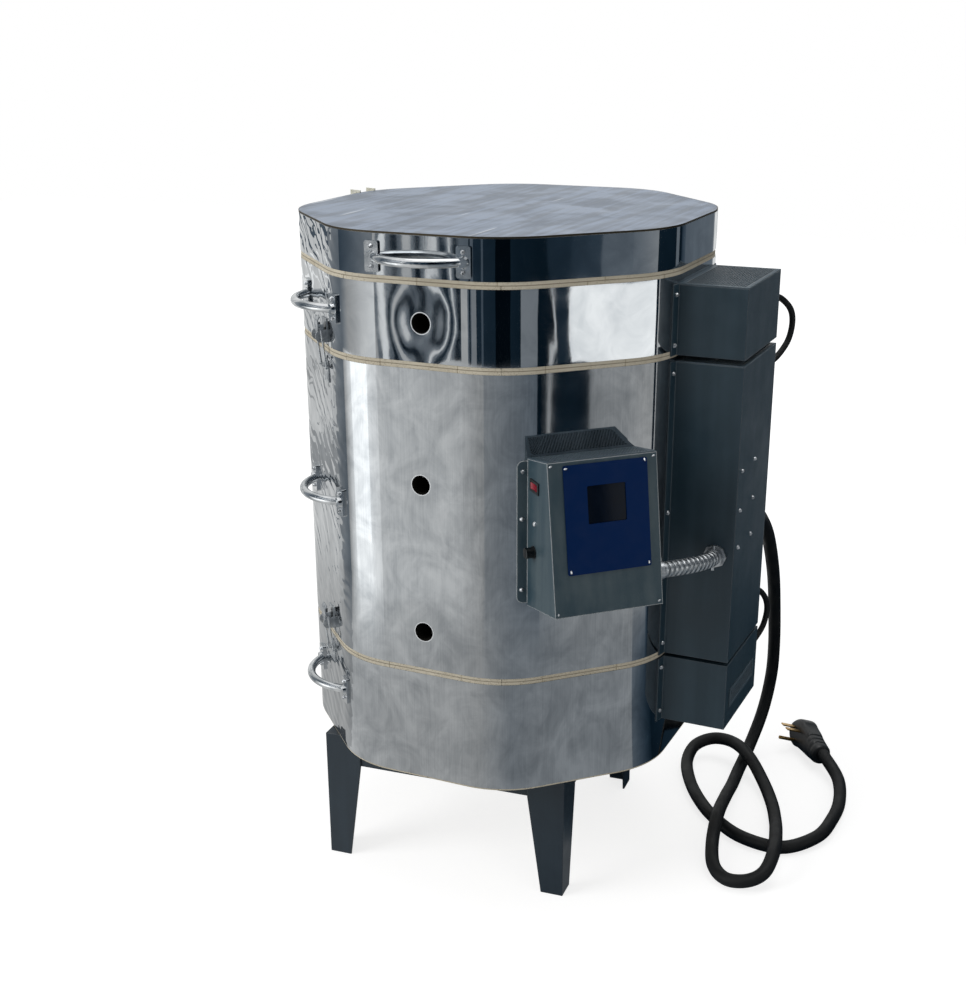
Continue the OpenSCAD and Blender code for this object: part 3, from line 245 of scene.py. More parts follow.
def rolled_steel(colours):
    """Cold-rolled stainless sheet: a mirror under a faint milky haze of curled rub marks."""
    mat, tree, where = begin("rolled_stainless_sheet")
    slant = add(tree, "Mapping", {"Vector": where, "Rotation": (0.0, math.radians(28), 0.0),
                                  "Scale": (1.0, 1.0, 0.45)})
    whorls = add(tree, "TexNoise", {"Vector": slant, "Scale": per_metre(42), "Detail": 4.0, "Roughness": 0.55,
                                    "Distortion": 2.6})
    clouds = add(tree, "TexNoise", {"Vector": where, "Scale": per_metre(60), "Detail": 6.0, "Roughness": 0.6,
                                    "Distortion": 0.8})
    upright = add(tree, "Mapping", {"Vector": where, "Scale": (1.0, 1.0, 0.025)})
    grain = add(tree, "TexNoise", {"Vector": upright, "Scale": per_metre(2.0), "Detail": 3.0})
    veil = add(tree, "Math", (whorls, 0.55, clouds), operation="MULTIPLY_ADD")
    hazy = add(tree, "Math", (grain, 0.30, veil), operation="MULTIPLY_ADD")
    colour = tint(tree, (hazy, 0.68, 1.14), colours.steel_shade, colours.steel)
    rimmed, band = with_drilled_rim(tree, where, colour)
    gloss = add(tree, "MapRange", (hazy, 0.7, 1.1, 0.035, 0.055))
    matt = add(tree, "Math", (band, 0.4, gloss), operation="MULTIPLY_ADD")
    relief = sheet_relief(tree, where, 190, 0.0002, whorls, 0.015)
    close(tree, {"Base Color": rimmed, "Metallic": 1.0, "Roughness": matt, "Normal": relief})
    return mat


def bright_steel(colours):
    """Bright-annealed stainless sheet: a mirror that thin sheet bends into wavy stripes."""
    mat, tree, where = begin("bright_annealed_stainless_sheet")
    smears = add(tree, "TexNoise", {"Vector": where, "Scale": per_metre(45), "Detail": 6.0,
                                    "Distortion": 0.9})
    colour = tint(tree, (smears, 0.35, 0.65), colours.bright_shade, colours.bright_steel)
    rimmed, band = with_drilled_rim(tree, where, colour)
    # A thin dark line painted round the band just under the cover's edge: painted shade of the rolled edge
    # above it
    apart = add(tree, "SeparateXYZ", {"Vector": where})
    line = add(tree, "MapRange", (apart.outputs["Z"], COVER_EDGE - 0.0024, COVER_EDGE - 0.0016))
    edge_shade_lined = add(tree, "Mix", {0: line, 6: rimmed, 7: linear("4a4439")}, data_type="RGBA")
    gloss = add(tree, "MapRange", (smears, 0.35, 0.7, 0.025, 0.05))
    dull = add(tree, "Math", (line, 0.5, gloss), operation="MULTIPLY_ADD")
    matt = add(tree, "Math", (band, 0.4, dull), operation="MULTIPLY_ADD")
    relief = sheet_relief(tree, where, 75, 0.0004, smears, 0.1)
    close(tree, {"Base Color": edge_shade_lined, "Metallic": 1.0, "Roughness": matt, "Normal": relief})
    return mat


def lid_sheet(colours):
    """Satin stainless cover of the lid: grey steel whose bluish tint is a painted reflection of the sky, with
    slanting wipe marks, thin scratches and dust.
    """
    mat, tree, where = begin("satin_stainless_cover")
    slant = add(tree, "Mapping", {"Vector": where, "Rotation": (0.0, 0.0, math.radians(62)),
                                  "Scale": (1.0, 0.05, 1.0)})
    wipes = add(tree, "TexNoise", {"Vector": slant, "Scale": per_metre(9), "Detail": 4.0})
    cross = add(tree, "Mapping", {"Vector": where, "Rotation": (0.0, 0.0, math.radians(47)),
                                  "Scale": (1.0, 0.06, 1.0)})
    lines = add(tree, "TexNoise", {"Vector": cross, "Scale": per_metre(14), "Detail": 2.0})
    dust = add(tree, "TexNoise", {"Vector": where, "Scale": per_metre(80), "Detail": 6.0, "Distortion": 0.8})
    both = add(tree, "Math", (wipes, dust), operation="ADD")
    colour = tint(tree, (both, 0.84, 1.16), colours.lid_sky_tinted_wiped, colours.lid_sky_tinted)
    scratched = tint(tree, (lines, 0.685, 0.72, 0.0, 0.6), colour, linear("d6dadd"))
    gloss = add(tree, "MapRange", (wipes, 0.3, 0.7, 0.32, 0.4))
    fine = add(tree, "Bump", {"Height": wipes, "Strength": 0.12, "Distance": 0.0004})
    close(tree, {"Base Color": scratched, "Metallic": 1.0, "Roughness": gloss, "Normal": fine})
    return mat


def brick_joint(tree, count, near, far):
    """1 in the joint between two bricks, from a count of bricks, and 0 nearer to the middle of a brick."""
    along = add(tree, "Math", (count,), operation="FRACT")
    off = add(tree, "Math", (along, 0.5), operation="SUBTRACT")
    away = add(tree, "Math", (off,), operation="ABSOLUTE")
    return add(tree, "MapRange", (away, near, far))


def firebrick(colours, slab=False):
    """Insulating firebrick, sawn and laid in rings or in a slab's rows: chalky and full of pin holes."""
    mat, tree, where = begin("insulating_firebrick_slab" if slab else "insulating_firebrick")
    apart = add(tree, "SeparateXYZ", {"Vector": where})
    turn = add(tree, "Math", (apart.outputs["Y"], apart.outputs["X"]), operation="ARCTAN2")
    # Every ring or row is moved on by half a brick
    row = add(tree, "Math", (apart.outputs["X" if slab else "Z"], BRICK_HEIGHT), operation="DIVIDE")
    ring = add(tree, "Math", (row,), operation="FLOOR")
    step = add(tree, "Math", (ring, 0.5), operation="MULTIPLY")
    place, per = (apart.outputs["Y"], 1 / BRICK_LENGTH) if slab else (turn, BRICKS_ROUND / (2 * math.pi))
    count = add(tree, "Math", (place, per, step), operation="MULTIPLY_ADD")
    joint = brick_joint(tree, count, 0.496 if slab else 0.492, 0.499 if slab else 0.498)
    if slab:
        joint = add(tree, "Math", (joint, brick_joint(tree, row, 0.492, 0.498)), operation="MAXIMUM")
    brick = add(tree, "Math", (count,), operation="FLOOR")
    which = add(tree, "CombineXYZ", (brick, ring))
    shade = add(tree, "TexWhiteNoise", {"Vector": which})
    pores = add(tree, "TexVoronoi", {"Vector": where, "Scale": per_metre(2.6), "Randomness": 1.0})
    pit = add(tree, "MapRange", (pores, 0.12, 0.34))
    stain = add(tree, "TexNoise", {"Vector": where, "Scale": per_metre(35), "Detail": 5.0})
    mixed = add(tree, "Math", (stain, 0.7), operation="MULTIPLY")
    tone = add(tree, "Math", (shade, 0.3, mixed), operation="MULTIPLY_ADD")
    colour = add(tree, "Mix", {0: tone, 6: colours.brick_shade, 7: colours.brick}, data_type="RGBA")
    pitted = add(tree, "Mix", {0: pit, 6: colours.brick_shade, 7: colour}, data_type="RGBA")
    colour = add(tree, "Mix", {0: joint, 6: pitted, 7: linear("a59b86")}, data_type="RGBA")
    # The sections' faces meet in a thin dark line
    for level in JOINT_HEIGHTS:
        above = add(tree, "Math", (apart.outputs["Z"], level), operation="SUBTRACT")
        near = add(tree, "Math", (above,), operation="ABSOLUTE")
        colour = tint(tree, (near, 0.0004, 0.0010, 0.65, 0.0), colour, linear("5e5546"))
    # Smoke and glaze fumes have blackened the bores of the peepholes
    smoked = tint(tree, (bore_distance(tree, where), 0.0150, 0.0172, 1.0, 0.0), colour, linear("15130f"))
    height = add(tree, "Math", (pit, joint), operation="SUBTRACT")
    rough = add(tree, "Bump", {"Height": height, "Strength": 0.7, "Distance": 0.0009})
    close(tree, {"Base Color": smoked, "Roughness": 0.95, "IOR": 1.5, "Specular IOR Level": 0.2,
                 "Normal": rough})
    return mat


def powder_coat(name, colour, worn, edge):
    """Powder-coated sheet steel: satin, with the fine orange-peel ripple of the baked coat, and a painted
    highlight of share edge along its folds.
    """
    mat, tree, where = begin(name)
    peel = add(tree, "TexNoise", {"Vector": where, "Scale": per_metre(1.6), "Detail": 2.0})
    dust = add(tree, "TexNoise", {"Vector": where, "Scale": per_metre(70), "Detail": 6.0, "Roughness": 0.6})
    run = add(tree, "Mapping", {"Vector": where, "Scale": (1.0, 1.0, 0.08)})
    streak = add(tree, "TexNoise", {"Vector": run, "Scale": per_metre(18), "Detail": 3.0})
    both = add(tree, "Math", (dust, streak), operation="ADD")
    aged = tint(tree, (both, 0.85, 1.35, 0.0, 0.16), colour, worn)
    gloss = add(tree, "MapRange", (dust, 0.3, 0.7, 0.34, 0.5))
    # The folds of bent sheet are round, and catch the light as thin lines, helped by a painted highlight
    fold = add(tree, "Bevel", {"Radius": 0.0024}, samples=6)
    ripple = add(tree, "Bump", {"Height": peel, "Normal": fold, "Strength": 0.22, "Distance": 0.0004})
    shape = add(tree, "NewGeometry")
    bend = add(tree, "VectorMath", (fold, shape.outputs["Normal"]), operation="DOT_PRODUCT")
    # rubbed: a pale colour painted along the folds as a painted highlight, by the share edge, where the
    # rounded normal turns from the face's own
    rubbed = tint(tree, (bend, 0.80, 0.97, edge, 0.0), aged, linear("e4e8ea"))
    close(tree, {"Base Color": rubbed, "Roughness": gloss, "IOR": 1.5, "Normal": ripple})
    return mat


def plated_metal(name, colour, shade, roughness, spots_mm):
    """Plated steel hardware: bright, a little smeared by handling."""
    mat, tree, where = begin(name)
    smear = add(tree, "TexNoise", {"Vector": where, "Scale": per_metre(spots_mm), "Detail": 5.0,
                                   "Distortion": 0.7})
    mixed = tint(tree, (smear, 0.35, 0.65), shade, colour)
    gloss = add(tree, "MapRange", (smear, 0.3, 0.7, roughness * 1.5, roughness * 0.8))
    fine = add(tree, "Bump", {"Height": smear, "Strength": 0.08, "Distance": 0.0004})
    close(tree, {"Base Color": mixed, "Metallic": 1.0, "Roughness": gloss, "Normal": fine})
    return mat


def moulded_plastic(name, colour, roughness, grain_mm, dust_share=0.04, gleam=0.5):
    """Moulded plastic or rubber with the fine grain of its mould."""
    mat, tree, where = begin(name)
    grain = add(tree, "TexNoise", {"Vector": where, "Scale": per_metre(grain_mm), "Detail": 3.0})
    dust = add(tree, "TexNoise", {"Vector": where, "Scale": per_metre(30), "Detail": 5.0})
    dusty = tint(tree, (dust, 0.45, 0.75, 0.0, dust_share), colour, linear("9a9a96"))
    gloss = add(tree, "MapRange", (dust, 0.3, 0.7, roughness * 0.85, roughness * 1.2))
    ripple = add(tree, "Bump", {"Height": grain, "Strength": 0.25, "Distance": 0.0002})
    close(tree, {"Base Color": dusty, "Roughness": gloss, "IOR": 1.5, "Specular IOR Level": gleam,
                 "Normal": ripple})
    return mat


def resistance_wire(colours):
    """Iron-chrome-aluminium wire after firing: a dull brown-grey oxide skin."""
    mat, tree, where = begin("oxidised_resistance_wire")
    scale = add(tree, "TexNoise", {"Vector": where, "Scale": per_metre(4), "Detail": 4.0})
    colour = add(tree, "Mix", {0: scale, 6: linear("4a403a"), 7: colours.wire}, data_type="RGBA")
    close(tree, {"Base Color": colour, "Metallic": 0.6, "Roughness": 0.62})
    return mat


def display_glass():
    """Dark glass over an unlit display."""
    mat, tree, where = begin("unlit_display_glass")
    smear = add(tree, "TexNoise", {"Vector": where, "Scale": per_metre(25), "Detail": 5.0, "Distortion": 1.0})
    gloss = add(tree, "MapRange", (smear, 0.0, 1.0, 0.04, 0.12))
    colour = add(tree, "Mix", {0: smear, 6: linear("050a12"), 7: linear("0b1524")}, data_type="RGBA")
    close(tree, {"Base Color": colour, "Roughness": gloss, "IOR": 1.5, "Specular IOR Level": 0.08})
    return mat


def dress(material, *names):
    """Gives solid parts their finish."""
    for name in names:
        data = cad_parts[name]
        if not data.material_slots:
            data.data.materials.append(material)
        for slot in data.material_slots:
            slot.material = material


def nodes_like(*words):
    """Names of the solid parts that hold one of the words."""
    return [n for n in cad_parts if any(w in n for w in words)]


def smooth_line(points, steps):
    """Smooth line through the points, with so many steps between two of them."""
    line = []
    for i in range(len(points) - 1):
        a, b = Vector(points[max(i - 1, 0)]), Vector(points[i])
        c, d = Vector(points[i + 1]), Vector(points[min(i + 2, len(points) - 1)])
        for k in range(steps):
            t = k / steps
            line.append(0.5 * (2 * b + (c - a) * t + (2 * a - 5 * b + 4 * c - d) * t * t
                               + (3 * b - a - 3 * c + d) * t ** 3))
    line.append(Vector(points[-1]))
    return line


def length_of(line):
    """Length of a line of points."""
    return sum((b - a).length for a, b in zip(line, line[1:]))


def lead_piece(context, name, route, diameter, steps):
    """A round lead as a curve through its route."""
    line = smooth_line(route, steps)
    curve = bpy.data.curves.new(name, "CURVE")
    curve.dimensions = "3D"
    curve.bevel_depth = diameter / 2
    curve.bevel_resolution = 6
    curve.use_fill_caps = True
    spline = curve.splines.new("POLY")
    spline.points.add(len(line) - 1)
    for point, place in zip(spline.points, line):
        point.co = (*place, 1.0)
    spline.use_smooth = True
    piece = bpy.data.objects.new(name, curve)
    context.collection.objects.link(piece)
    return piece, length_of(line)


def mesh_piece(context, name, shape, material, body="kiln", replaced=(), sharp_deg=40):
    """Turns a bmesh into a piece of the kiln that rides on a body."""
    mesh = bpy.data.meshes.new(name)
    bmesh.ops.recalc_face_normals(shape, faces=shape.faces)
    shape.to_mesh(mesh)
    shape.free()
    mesh.materials.append(material)
    mesh.shade_smooth()
    mesh.set_sharp_from_angle(angle=math.radians(sharp_deg))
    piece = bpy.data.objects.new(name, mesh)
    context.collection.objects.link(piece)
    if replaced:
        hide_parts(*replaced)
    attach(piece, body)
    return piece


def carry(line):
    """Frames along a line without twist: (place, side, up) for each point."""
    frames = []
    up = None
    for i, place in enumerate(line):
        ahead = (line[min(i + 1, len(line) - 1)] - line[max(i - 1, 0)]).normalized()
        if up is None:
            up = ahead.orthogonal().normalized()
        up = (up - ahead * up.dot(ahead)).normalized()
        frames.append((place, ahead.cross(up), up))
    return frames


def around(count):
    """Angles of so many even steps round a circle."""
    return [2 * math.pi * k / count for k in range(count)]


def skin(shape, rings):
    """Adds the faces between rings of points, from each ring to the next."""
    for first, second in zip(rings, rings[1:]):
        for k in range(len(first)):
            n = (k + 1) % len(first)
            shape.faces.new((first[k], first[n], second[n], second[k]))


def skin_with_ends(shape, rings):
    """Adds a closed body over rings of points."""
    skin(shape, rings)
    shape.faces.new(rings[0][::-1])
    shape.faces.new(rings[-1])


def sweep(shape, line, radii, sides):
    """Sweeps a circle of changing radius along a line, into the shape."""
    skin_with_ends(shape, [[shape.verts.new(place + radius * (math.cos(a) * up + math.sin(a) * side))
                            for a in around(sides)] for (place, side, up), radius in zip(carry(line), radii)])


def bezier(a, b, c, d, t):
    """Point of a cubic curve."""
    return (1 - t) ** 3 * a + 3 * t * (1 - t) ** 2 * b + 3 * t * t * (1 - t) * c + t ** 3 * d


def octagon_line(reach, height):
    """Points round an octagon whose flats are reach from the axis, with a gap where the ends leave it."""
    half, steps, gap = math.radians(22.5), 12, 2
    corners = [Matrix.Rotation(half * (2 * k + 1), 3, "Z") @ Vector((reach / math.cos(half), 0, height))
               for k in range(9)]
    line = [a.lerp(b, (k + 0.5) / steps) for a, b in zip(corners, corners[1:]) for k in range(steps)]
    return line[gap:-gap]


def islands(node):
    """Separate bodies of one solid part, as the points of each."""
    shape = bmesh.new()
    shape.from_mesh(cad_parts[node].data)
    bmesh.ops.remove_doubles(shape, verts=shape.verts, dist=1e-5)
    left = dict.fromkeys(shape.verts)
    found = []
    while left:
        stack = [left.popitem()[0]]
        group = []
        while stack:
            vert = stack.pop()
            group.append(vert.co.copy())
            for edge in vert.link_edges:
                other = edge.other_vert(vert)
                if other in left:
                    del left[other]
                    stack.append(other)
        found.append(group)
    shape.free()
    return found


def on_face(number):
    """Place of a side of the kiln: X along it, Y into it from the jacket's flat, Z up."""
    return Matrix.Rotation(math.radians(45 * number), 4, "Z") @ Matrix.Translation((0, -JACKET_REACH, 0))


def jacket_drop(x):
    """How far the jacket has turned back from its flat, at x from the flat's middle."""
    past = max(0.0, abs(x) - FLAT_HALF)
    return CORNER_RADIUS - math.sqrt(CORNER_RADIUS ** 2 - past ** 2)


def prism(shape, place, outline, low, high):
    """Adds a closed prism over an outline of (x, y) points, between two heights."""
    skin_with_ends(shape, [[shape.verts.new(place @ Vector((x, y, z))) for x, y in outline]
                           for z in (low, high)])


def rectangle(x0, y0, x1, y1):
    """Outline of a rectangle."""
    return [(x0, y0), (x1, y0), (x1, y1), (x0, y1)]


def pierced_cell(shape, place, x0, y0, x1, y1, hole):
    """Adds one rectangular cell of a sheet with a round hole in its middle."""
    corners = [Vector(corner) for corner in ((x1, y1), (x0, y1), (x0, y0), (x1, y0))]
    border, bore = [], []
    for k in range(12):
        border.append(corners[k // 3].lerp(corners[(k // 3 + 1) % 4], (k % 3) / 3))
        turn = math.radians(45 + 30 * k)
        bore.append(((x0 + x1) / 2 + hole / 2 * math.cos(turn), (y0 + y1) / 2 + hole / 2 * math.sin(turn)))
    skin(shape, [[shape.verts.new(place @ Vector((x, y, z))) for x, y in line]
                 for line, z in ((border, 0.0), (bore, 0.0), (bore, -SHEET), (border, -SHEET))])


def pierced_sheet(shape, place, half, back_at, sizes):
    """Adds a sheet with staggered holes. Its front edge is straight, and its back edge follows the jacket."""
    margin, pitch, step = 0.006, sizes.vent_pitch, sizes.vent_pitch * math.cos(math.radians(30))
    columns = int((2 * half - 2 * margin - pitch / 2) / pitch)
    rows = int((back_at(0) - 2 * margin) / step)
    left = -(columns + 0.5) * pitch / 2
    for row in range(rows):
        y0, y1 = margin + row * step, margin + (row + 1) * step
        start = left + (row % 2) * pitch / 2
        for column in range(columns):
            x0 = start + column * pitch
            pierced_cell(shape, place, x0, y0, x0 + pitch, y1, sizes.vent_hole)
        prism(shape, place, rectangle(-half, y0, start, y1), -SHEET, 0)
        prism(shape, place, rectangle(start + columns * pitch, y0, half, y1), -SHEET, 0)
    prism(shape, place, rectangle(-half, 0, half, margin), -SHEET, 0)
    strips = 24
    for k in range(strips):
        x0, x1 = half * (2 * k / strips - 1), half * (2 * (k + 1) / strips - 1)
        y = margin + rows * step
        prism(shape, place, [(x0, y), (x1, y), (x1, back_at(x1)), (x0, back_at(x0))], -SHEET, 0)


def louvre(shape, place):
    """Adds a pressed frame with tilted blades, its foot at the place's origin."""
    half, rim, blades, thick, inner = LOUVRE_WIDTH / 2, 0.005, 7, 0.0006, 0.0022
    upright = place @ Matrix.Rotation(math.radians(90), 4, "X")
    lower, upper = rim, LOUVRE_HEIGHT - rim
    for corners in ((-half, 0, half, lower), (-half, upper, half, LOUVRE_HEIGHT),
                    (-half, lower, rim - half, upper), (half - rim, lower, half, upper)):
        prism(shape, upright, rectangle(*corners), 0, SHEET)
    pitch = (upper - lower) / blades
    along = place @ Matrix.Rotation(math.radians(90), 4, "Y") @ Matrix.Rotation(math.radians(90), 4, "Z")
    for k in range(blades):
        foot = lower + k * pitch
        head = foot + 0.9 * pitch
        prism(shape, along, [(-SHEET, foot), (inner, head), (inner, head + thick), (-SHEET, foot + thick)],
              rim - half, half - rim)


def screw_head(shape, points):
    """Adds a domed head with a cross recess in place of a plain one, given by its points."""
    centre = sum(points, Vector()) / len(points)
    reach = max((p - centre).length for p in points)
    # The axis is square to two directions to the rims. As the rims differ in height it leans, by 26 degrees
    # on the large screws and 39 on the small ones
    pairs = [(p - centre).normalized() for p in points if (p - centre).length > 0.9 * reach]
    axis = max((a.cross(b) for a in pairs[:6] for b in pairs), key=lambda c: c.length).normalized()
    heights = [(p - centre).dot(axis) for p in points]
    low, high = min(heights), max(heights)
    wide = [((p - centre) - axis * h).length for p, h in zip(points, heights)]
    lower = max(w for w, h in zip(wide, heights) if h < low + 1e-4)
    upper = max(w for w, h in zip(wide, heights) if h > high - 1e-4)
    if upper > lower:
        axis, low, high = -axis, -high, -low
    radius, tall = max(lower, upper), high - low
    side = axis.orthogonal().normalized()
    up = axis.cross(side)
    foot = centre + axis * low
    sectors, steps = 32, 10
    arm_half, arm_reach, sunk = 0.15 * radius, 0.56 * radius, 0.55 * tall
    # The dome falls to half its height at the edge, and the recess is sunk in it
    rings = []
    for step in range(1, steps + 1):
        ring = []
        for turn in around(sectors):
            u, v = (radius * step / steps * part for part in (math.cos(turn), math.sin(turn)))
            height = tall * (1 - 0.5 * (step / steps) ** 3)
            if min(abs(u), abs(v)) < arm_half and max(abs(u), abs(v)) < arm_reach:
                height -= sunk
            ring.append(shape.verts.new(foot + side * u + up * v + axis * height))
        rings.append(ring)
    rings.append([shape.verts.new(foot + radius * (math.cos(turn) * side + math.sin(turn) * up))
                  for turn in around(sectors)])
    middle = shape.verts.new(foot + axis * (tall - sunk))
    for k in range(sectors):
        shape.faces.new((middle, rings[0][k], rings[0][(k + 1) % sectors]))
    skin(shape, rings[::-1])
    shape.faces.new(rings[-1])


def colour_setting(name, description, code):
    """A colour in the panel, from its sRGB hex."""
    return FloatVectorProperty(name=name, description=description, subtype="COLOR", size=4, min=0, max=1,
                               default=linear(code))


def length_setting(name, description, default, least, most):
    """A length in the panel."""
    return FloatProperty(name=name, description=description, unit="LENGTH", default=default, min=least,
                         max=most)


def power_setting(name, description, default):
    """A lamp's power in the panel."""
    return FloatProperty(name=name, description=description, unit="POWER", default=default, min=0.0)


class KilnFinish(PropertyGroup):
    """Colours of the kiln's finishes."""

    steel: colour_setting("Rolled steel", "Lighter tone of the side jackets", "c6c9cc")
    steel_shade: colour_setting("Rolled steel, rubbed", "Darker tone of the side jackets", "9fa3a7")
    bright_steel: colour_setting("Bright steel", "Lighter tone of the lid's band and top ring", "c6c9cc")
    bright_shade: colour_setting("Bright steel, stripes", "Darker stripes in the bright sheet", "b2b6ba")
    # The lid cover's two tones are grey steel with a bluish tint painted in as a painted reflection of the
    # sky
    lid_sky_tinted: colour_setting("Lid cover", "Lighter tone of the lid's cover", "8896ab")
    lid_sky_tinted_wiped: colour_setting("Lid cover, wiped", "Darker tone of the lid's cover", "556479")
    brick: colour_setting("Firebrick", "Lighter tone of the brick", "d0c9b8")
    brick_shade: colour_setting("Firebrick, stained", "Darker tone of the brick", "b0a793")
    slate: colour_setting("Slate coat", "Powder coat of the wiring boxes", "1f333e")
    grey: colour_setting("Grey coat", "Powder coat of the control box", "2d424c")
    stand: colour_setting("Stand paint", "Paint of the stand and legs", "1d2a34")
    panel: colour_setting("Panel film", "Overlay of the control panel", "00214e")
    wire: colour_setting("Element wire", "Oxide skin of the heating wire", "7d726a")
    rubber: colour_setting("Cord jacket", "Rubber of the lead and its plug", "080b0e")


class KilnSizes(PropertyGroup):
    """Sizes of the parts that are built here."""

    lead_diameter: length_setting("Lead diameter", "Thickness of the mains lead", 0.022, 0.012, 0.03)
    jumper_diameter: length_setting("Jumper diameter", "Thickness of the leads between the boxes", 0.0094,
                                    0.006, 0.012)
    coil_diameter: length_setting("Coil diameter", "Width of the wound heating element", 0.0088, 0.006, 0.012)
    coil_pitch: length_setting("Coil pitch", "Distance from one turn of the element to the next", 0.0085,
                               0.005, 0.02)
    wire_diameter: length_setting("Wire diameter", "Thickness of the heating wire", 0.0018, 0.001, 0.003)
    conduit_diameter: length_setting("Conduit diameter", "Outside of the conduit's ribs", 0.0236, 0.015, 0.03)
    conduit_ribs: IntProperty(name="Conduit ribs", description="Number of ribs along the conduit", default=15,
                              min=8, max=40)
    vent_pitch: length_setting("Vent pitch", "Distance between two holes of the vent sheets", 0.0045, 0.0043,
                               0.012)
    vent_hole: length_setting("Vent hole", "Width of the holes in the vent sheets", 0.0033, 0.0015, 0.004)


class KilnStudio(PropertyGroup):
    """Light and camera."""

    key_power: power_setting("Key lamp", "Power of the large lamp at the front left", 80.0)
    fill_power: power_setting("Fill lamp", "Power of the lamp at the right", 6.0)
    top_power: power_setting("Top lamp", "Power of the lamp above the lid", 30.0)
    sky: FloatProperty(name="Room light", description="Strength of the even light from all sides",
                       default=0.34, min=0.0, max=2.0)
    floor: colour_setting("Floor", "Colour of the floor", "f2f2f2")


class KILN_OT_sheet_metal(Operator):
    """Finish the stainless jackets, the lid's band and its cover."""

    bl_idname = "kiln.sheet_metal"
    bl_label = "Sheet Metal"

    def execute(self, context):
        colours = context.scene.kiln_finish
        dress(rolled_steel(colours), "main_jacket", "bottom_jacket")
        dress(bright_steel(colours), "top_jacket", "lid_band")
        dress(lid_sheet(colours), "lid_cover")
        return {"FINISHED"}


class KILN_OT_brickwork(Operator):
    """Finish the firebrick, and the ceramic parts set in it."""

    bl_idname = "kiln.brickwork"
    bl_label = "Brickwork"

    def execute(self, context):
        colours = context.scene.kiln_finish
        dress(firebrick(colours), "bottom_brick_ring", "main_brick_wall", "top_brick_ring")
        dress(firebrick(colours, slab=True), "floor_slab", "lid_slab")
        dress(moulded_plastic("mullite_tube", linear("e0d6c2"), 0.5, 1.5), "thermocouple")
        return {"FINISHED"}


class KILN_OT_elements(Operator):
    """Wind the heating elements into the grooves of the brick."""

    bl_idname = "kiln.elements"
    bl_label = "Heating Elements"

    def execute(self, context):
        sizes = context.scene.kiln_sizes
        wire = resistance_wire(context.scene.kiln_finish)
        _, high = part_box("heating_elements")
        heights = sorted({round(sum(point.z for point in group) / len(group), 3)
                          for group in islands("heating_elements")})
        radius = (sizes.coil_diameter - sizes.wire_diameter) / 2
        per_turn = 7
        shape = bmesh.new()
        for height in heights:
            ring = octagon_line(high.x - sizes.coil_diameter / 2, height)
            frames = carry(ring)
            count = int(length_of(ring) / sizes.coil_pitch) * per_turn
            helix = []
            for n in range(count + 1):
                along = n / count * (len(ring) - 1)
                i = min(int(along), len(ring) - 2)
                place, side, up = (a.lerp(b, along - i) for a, b in zip(frames[i], frames[i + 1]))
                turn = 2 * math.pi * n / per_turn
                helix.append(place + radius * (math.cos(turn) * up + math.sin(turn) * side))
            sweep(shape, helix, [sizes.wire_diameter / 2] * len(helix), 4)
        mesh_piece(context, "element_coils", shape, wire, replaced=["heating_elements"])
        return {"FINISHED"}


class KILN_OT_coats(Operator):
    """Coat the wiring boxes, the control box and the stand."""

    bl_idname = "kiln.coats"
    bl_label = "Coated Steel"

    def execute(self, context):
        colours = context.scene.kiln_finish
        # The last number of each coat is the share of the painted highlight along its folds
        slate = powder_coat("slate_powder_coat", colours.slate, linear("4c626e"), 0.10)
        sheet = powder_coat("slate_coated_perforated_sheet", linear("42515b"), linear("5c6f7a"), 0.0)
        grey = powder_coat("grey_powder_coat", colours.grey, linear("8b9492"), 0.85)
        paint = powder_coat("satin_stand_paint", colours.stand, linear("3d505e"), 0.05)
        dress(slate, "upper_wiring_box", "main_wiring_box", "lower_wiring_box")
        dress(grey, "control_box")
        dress(paint, "stand_frame", *nodes_like("leg_"))
        self.vents(context, sheet)
        return {"FINISHED"}

    def vents(self, context, coat):
        """Perforated tops of the boxes, and the louvre in the lowest box."""
        sizes = context.scene.kiln_sizes
        shape = bmesh.new()
        for height in BOX_TOPS:
            place = on_face(2) @ Matrix.Translation((0, -BOX_DEPTH, height))
            pierced_sheet(shape, place, BOX_HALF, lambda x: BOX_DEPTH + jacket_drop(x), sizes)
        louvre(shape, on_face(2) @ Matrix.Translation((0, -BOX_DEPTH, LOUVRE_FOOT)))
        mesh_piece(context, "box_vent_sheets", shape, coat, replaced=["box_vent_panels"])
        shape = bmesh.new()
        place = (on_face(1) @ Matrix.Translation((CONTROL_SHIFT, -CONTROL_DEPTH, CONTROL_TOP))
                 @ Matrix.Rotation(math.radians(-CONTROL_TILT), 4, "X"))
        lean = math.cos(math.radians(CONTROL_TILT))
        pierced_sheet(shape, place, CONTROL_HALF,
                      lambda x: (CONTROL_DEPTH + jacket_drop(x + CONTROL_SHIFT)) / lean, sizes)
        mesh_piece(context, "control_vent_sheet", shape, coat,
                   replaced=["control_vent_panel"])


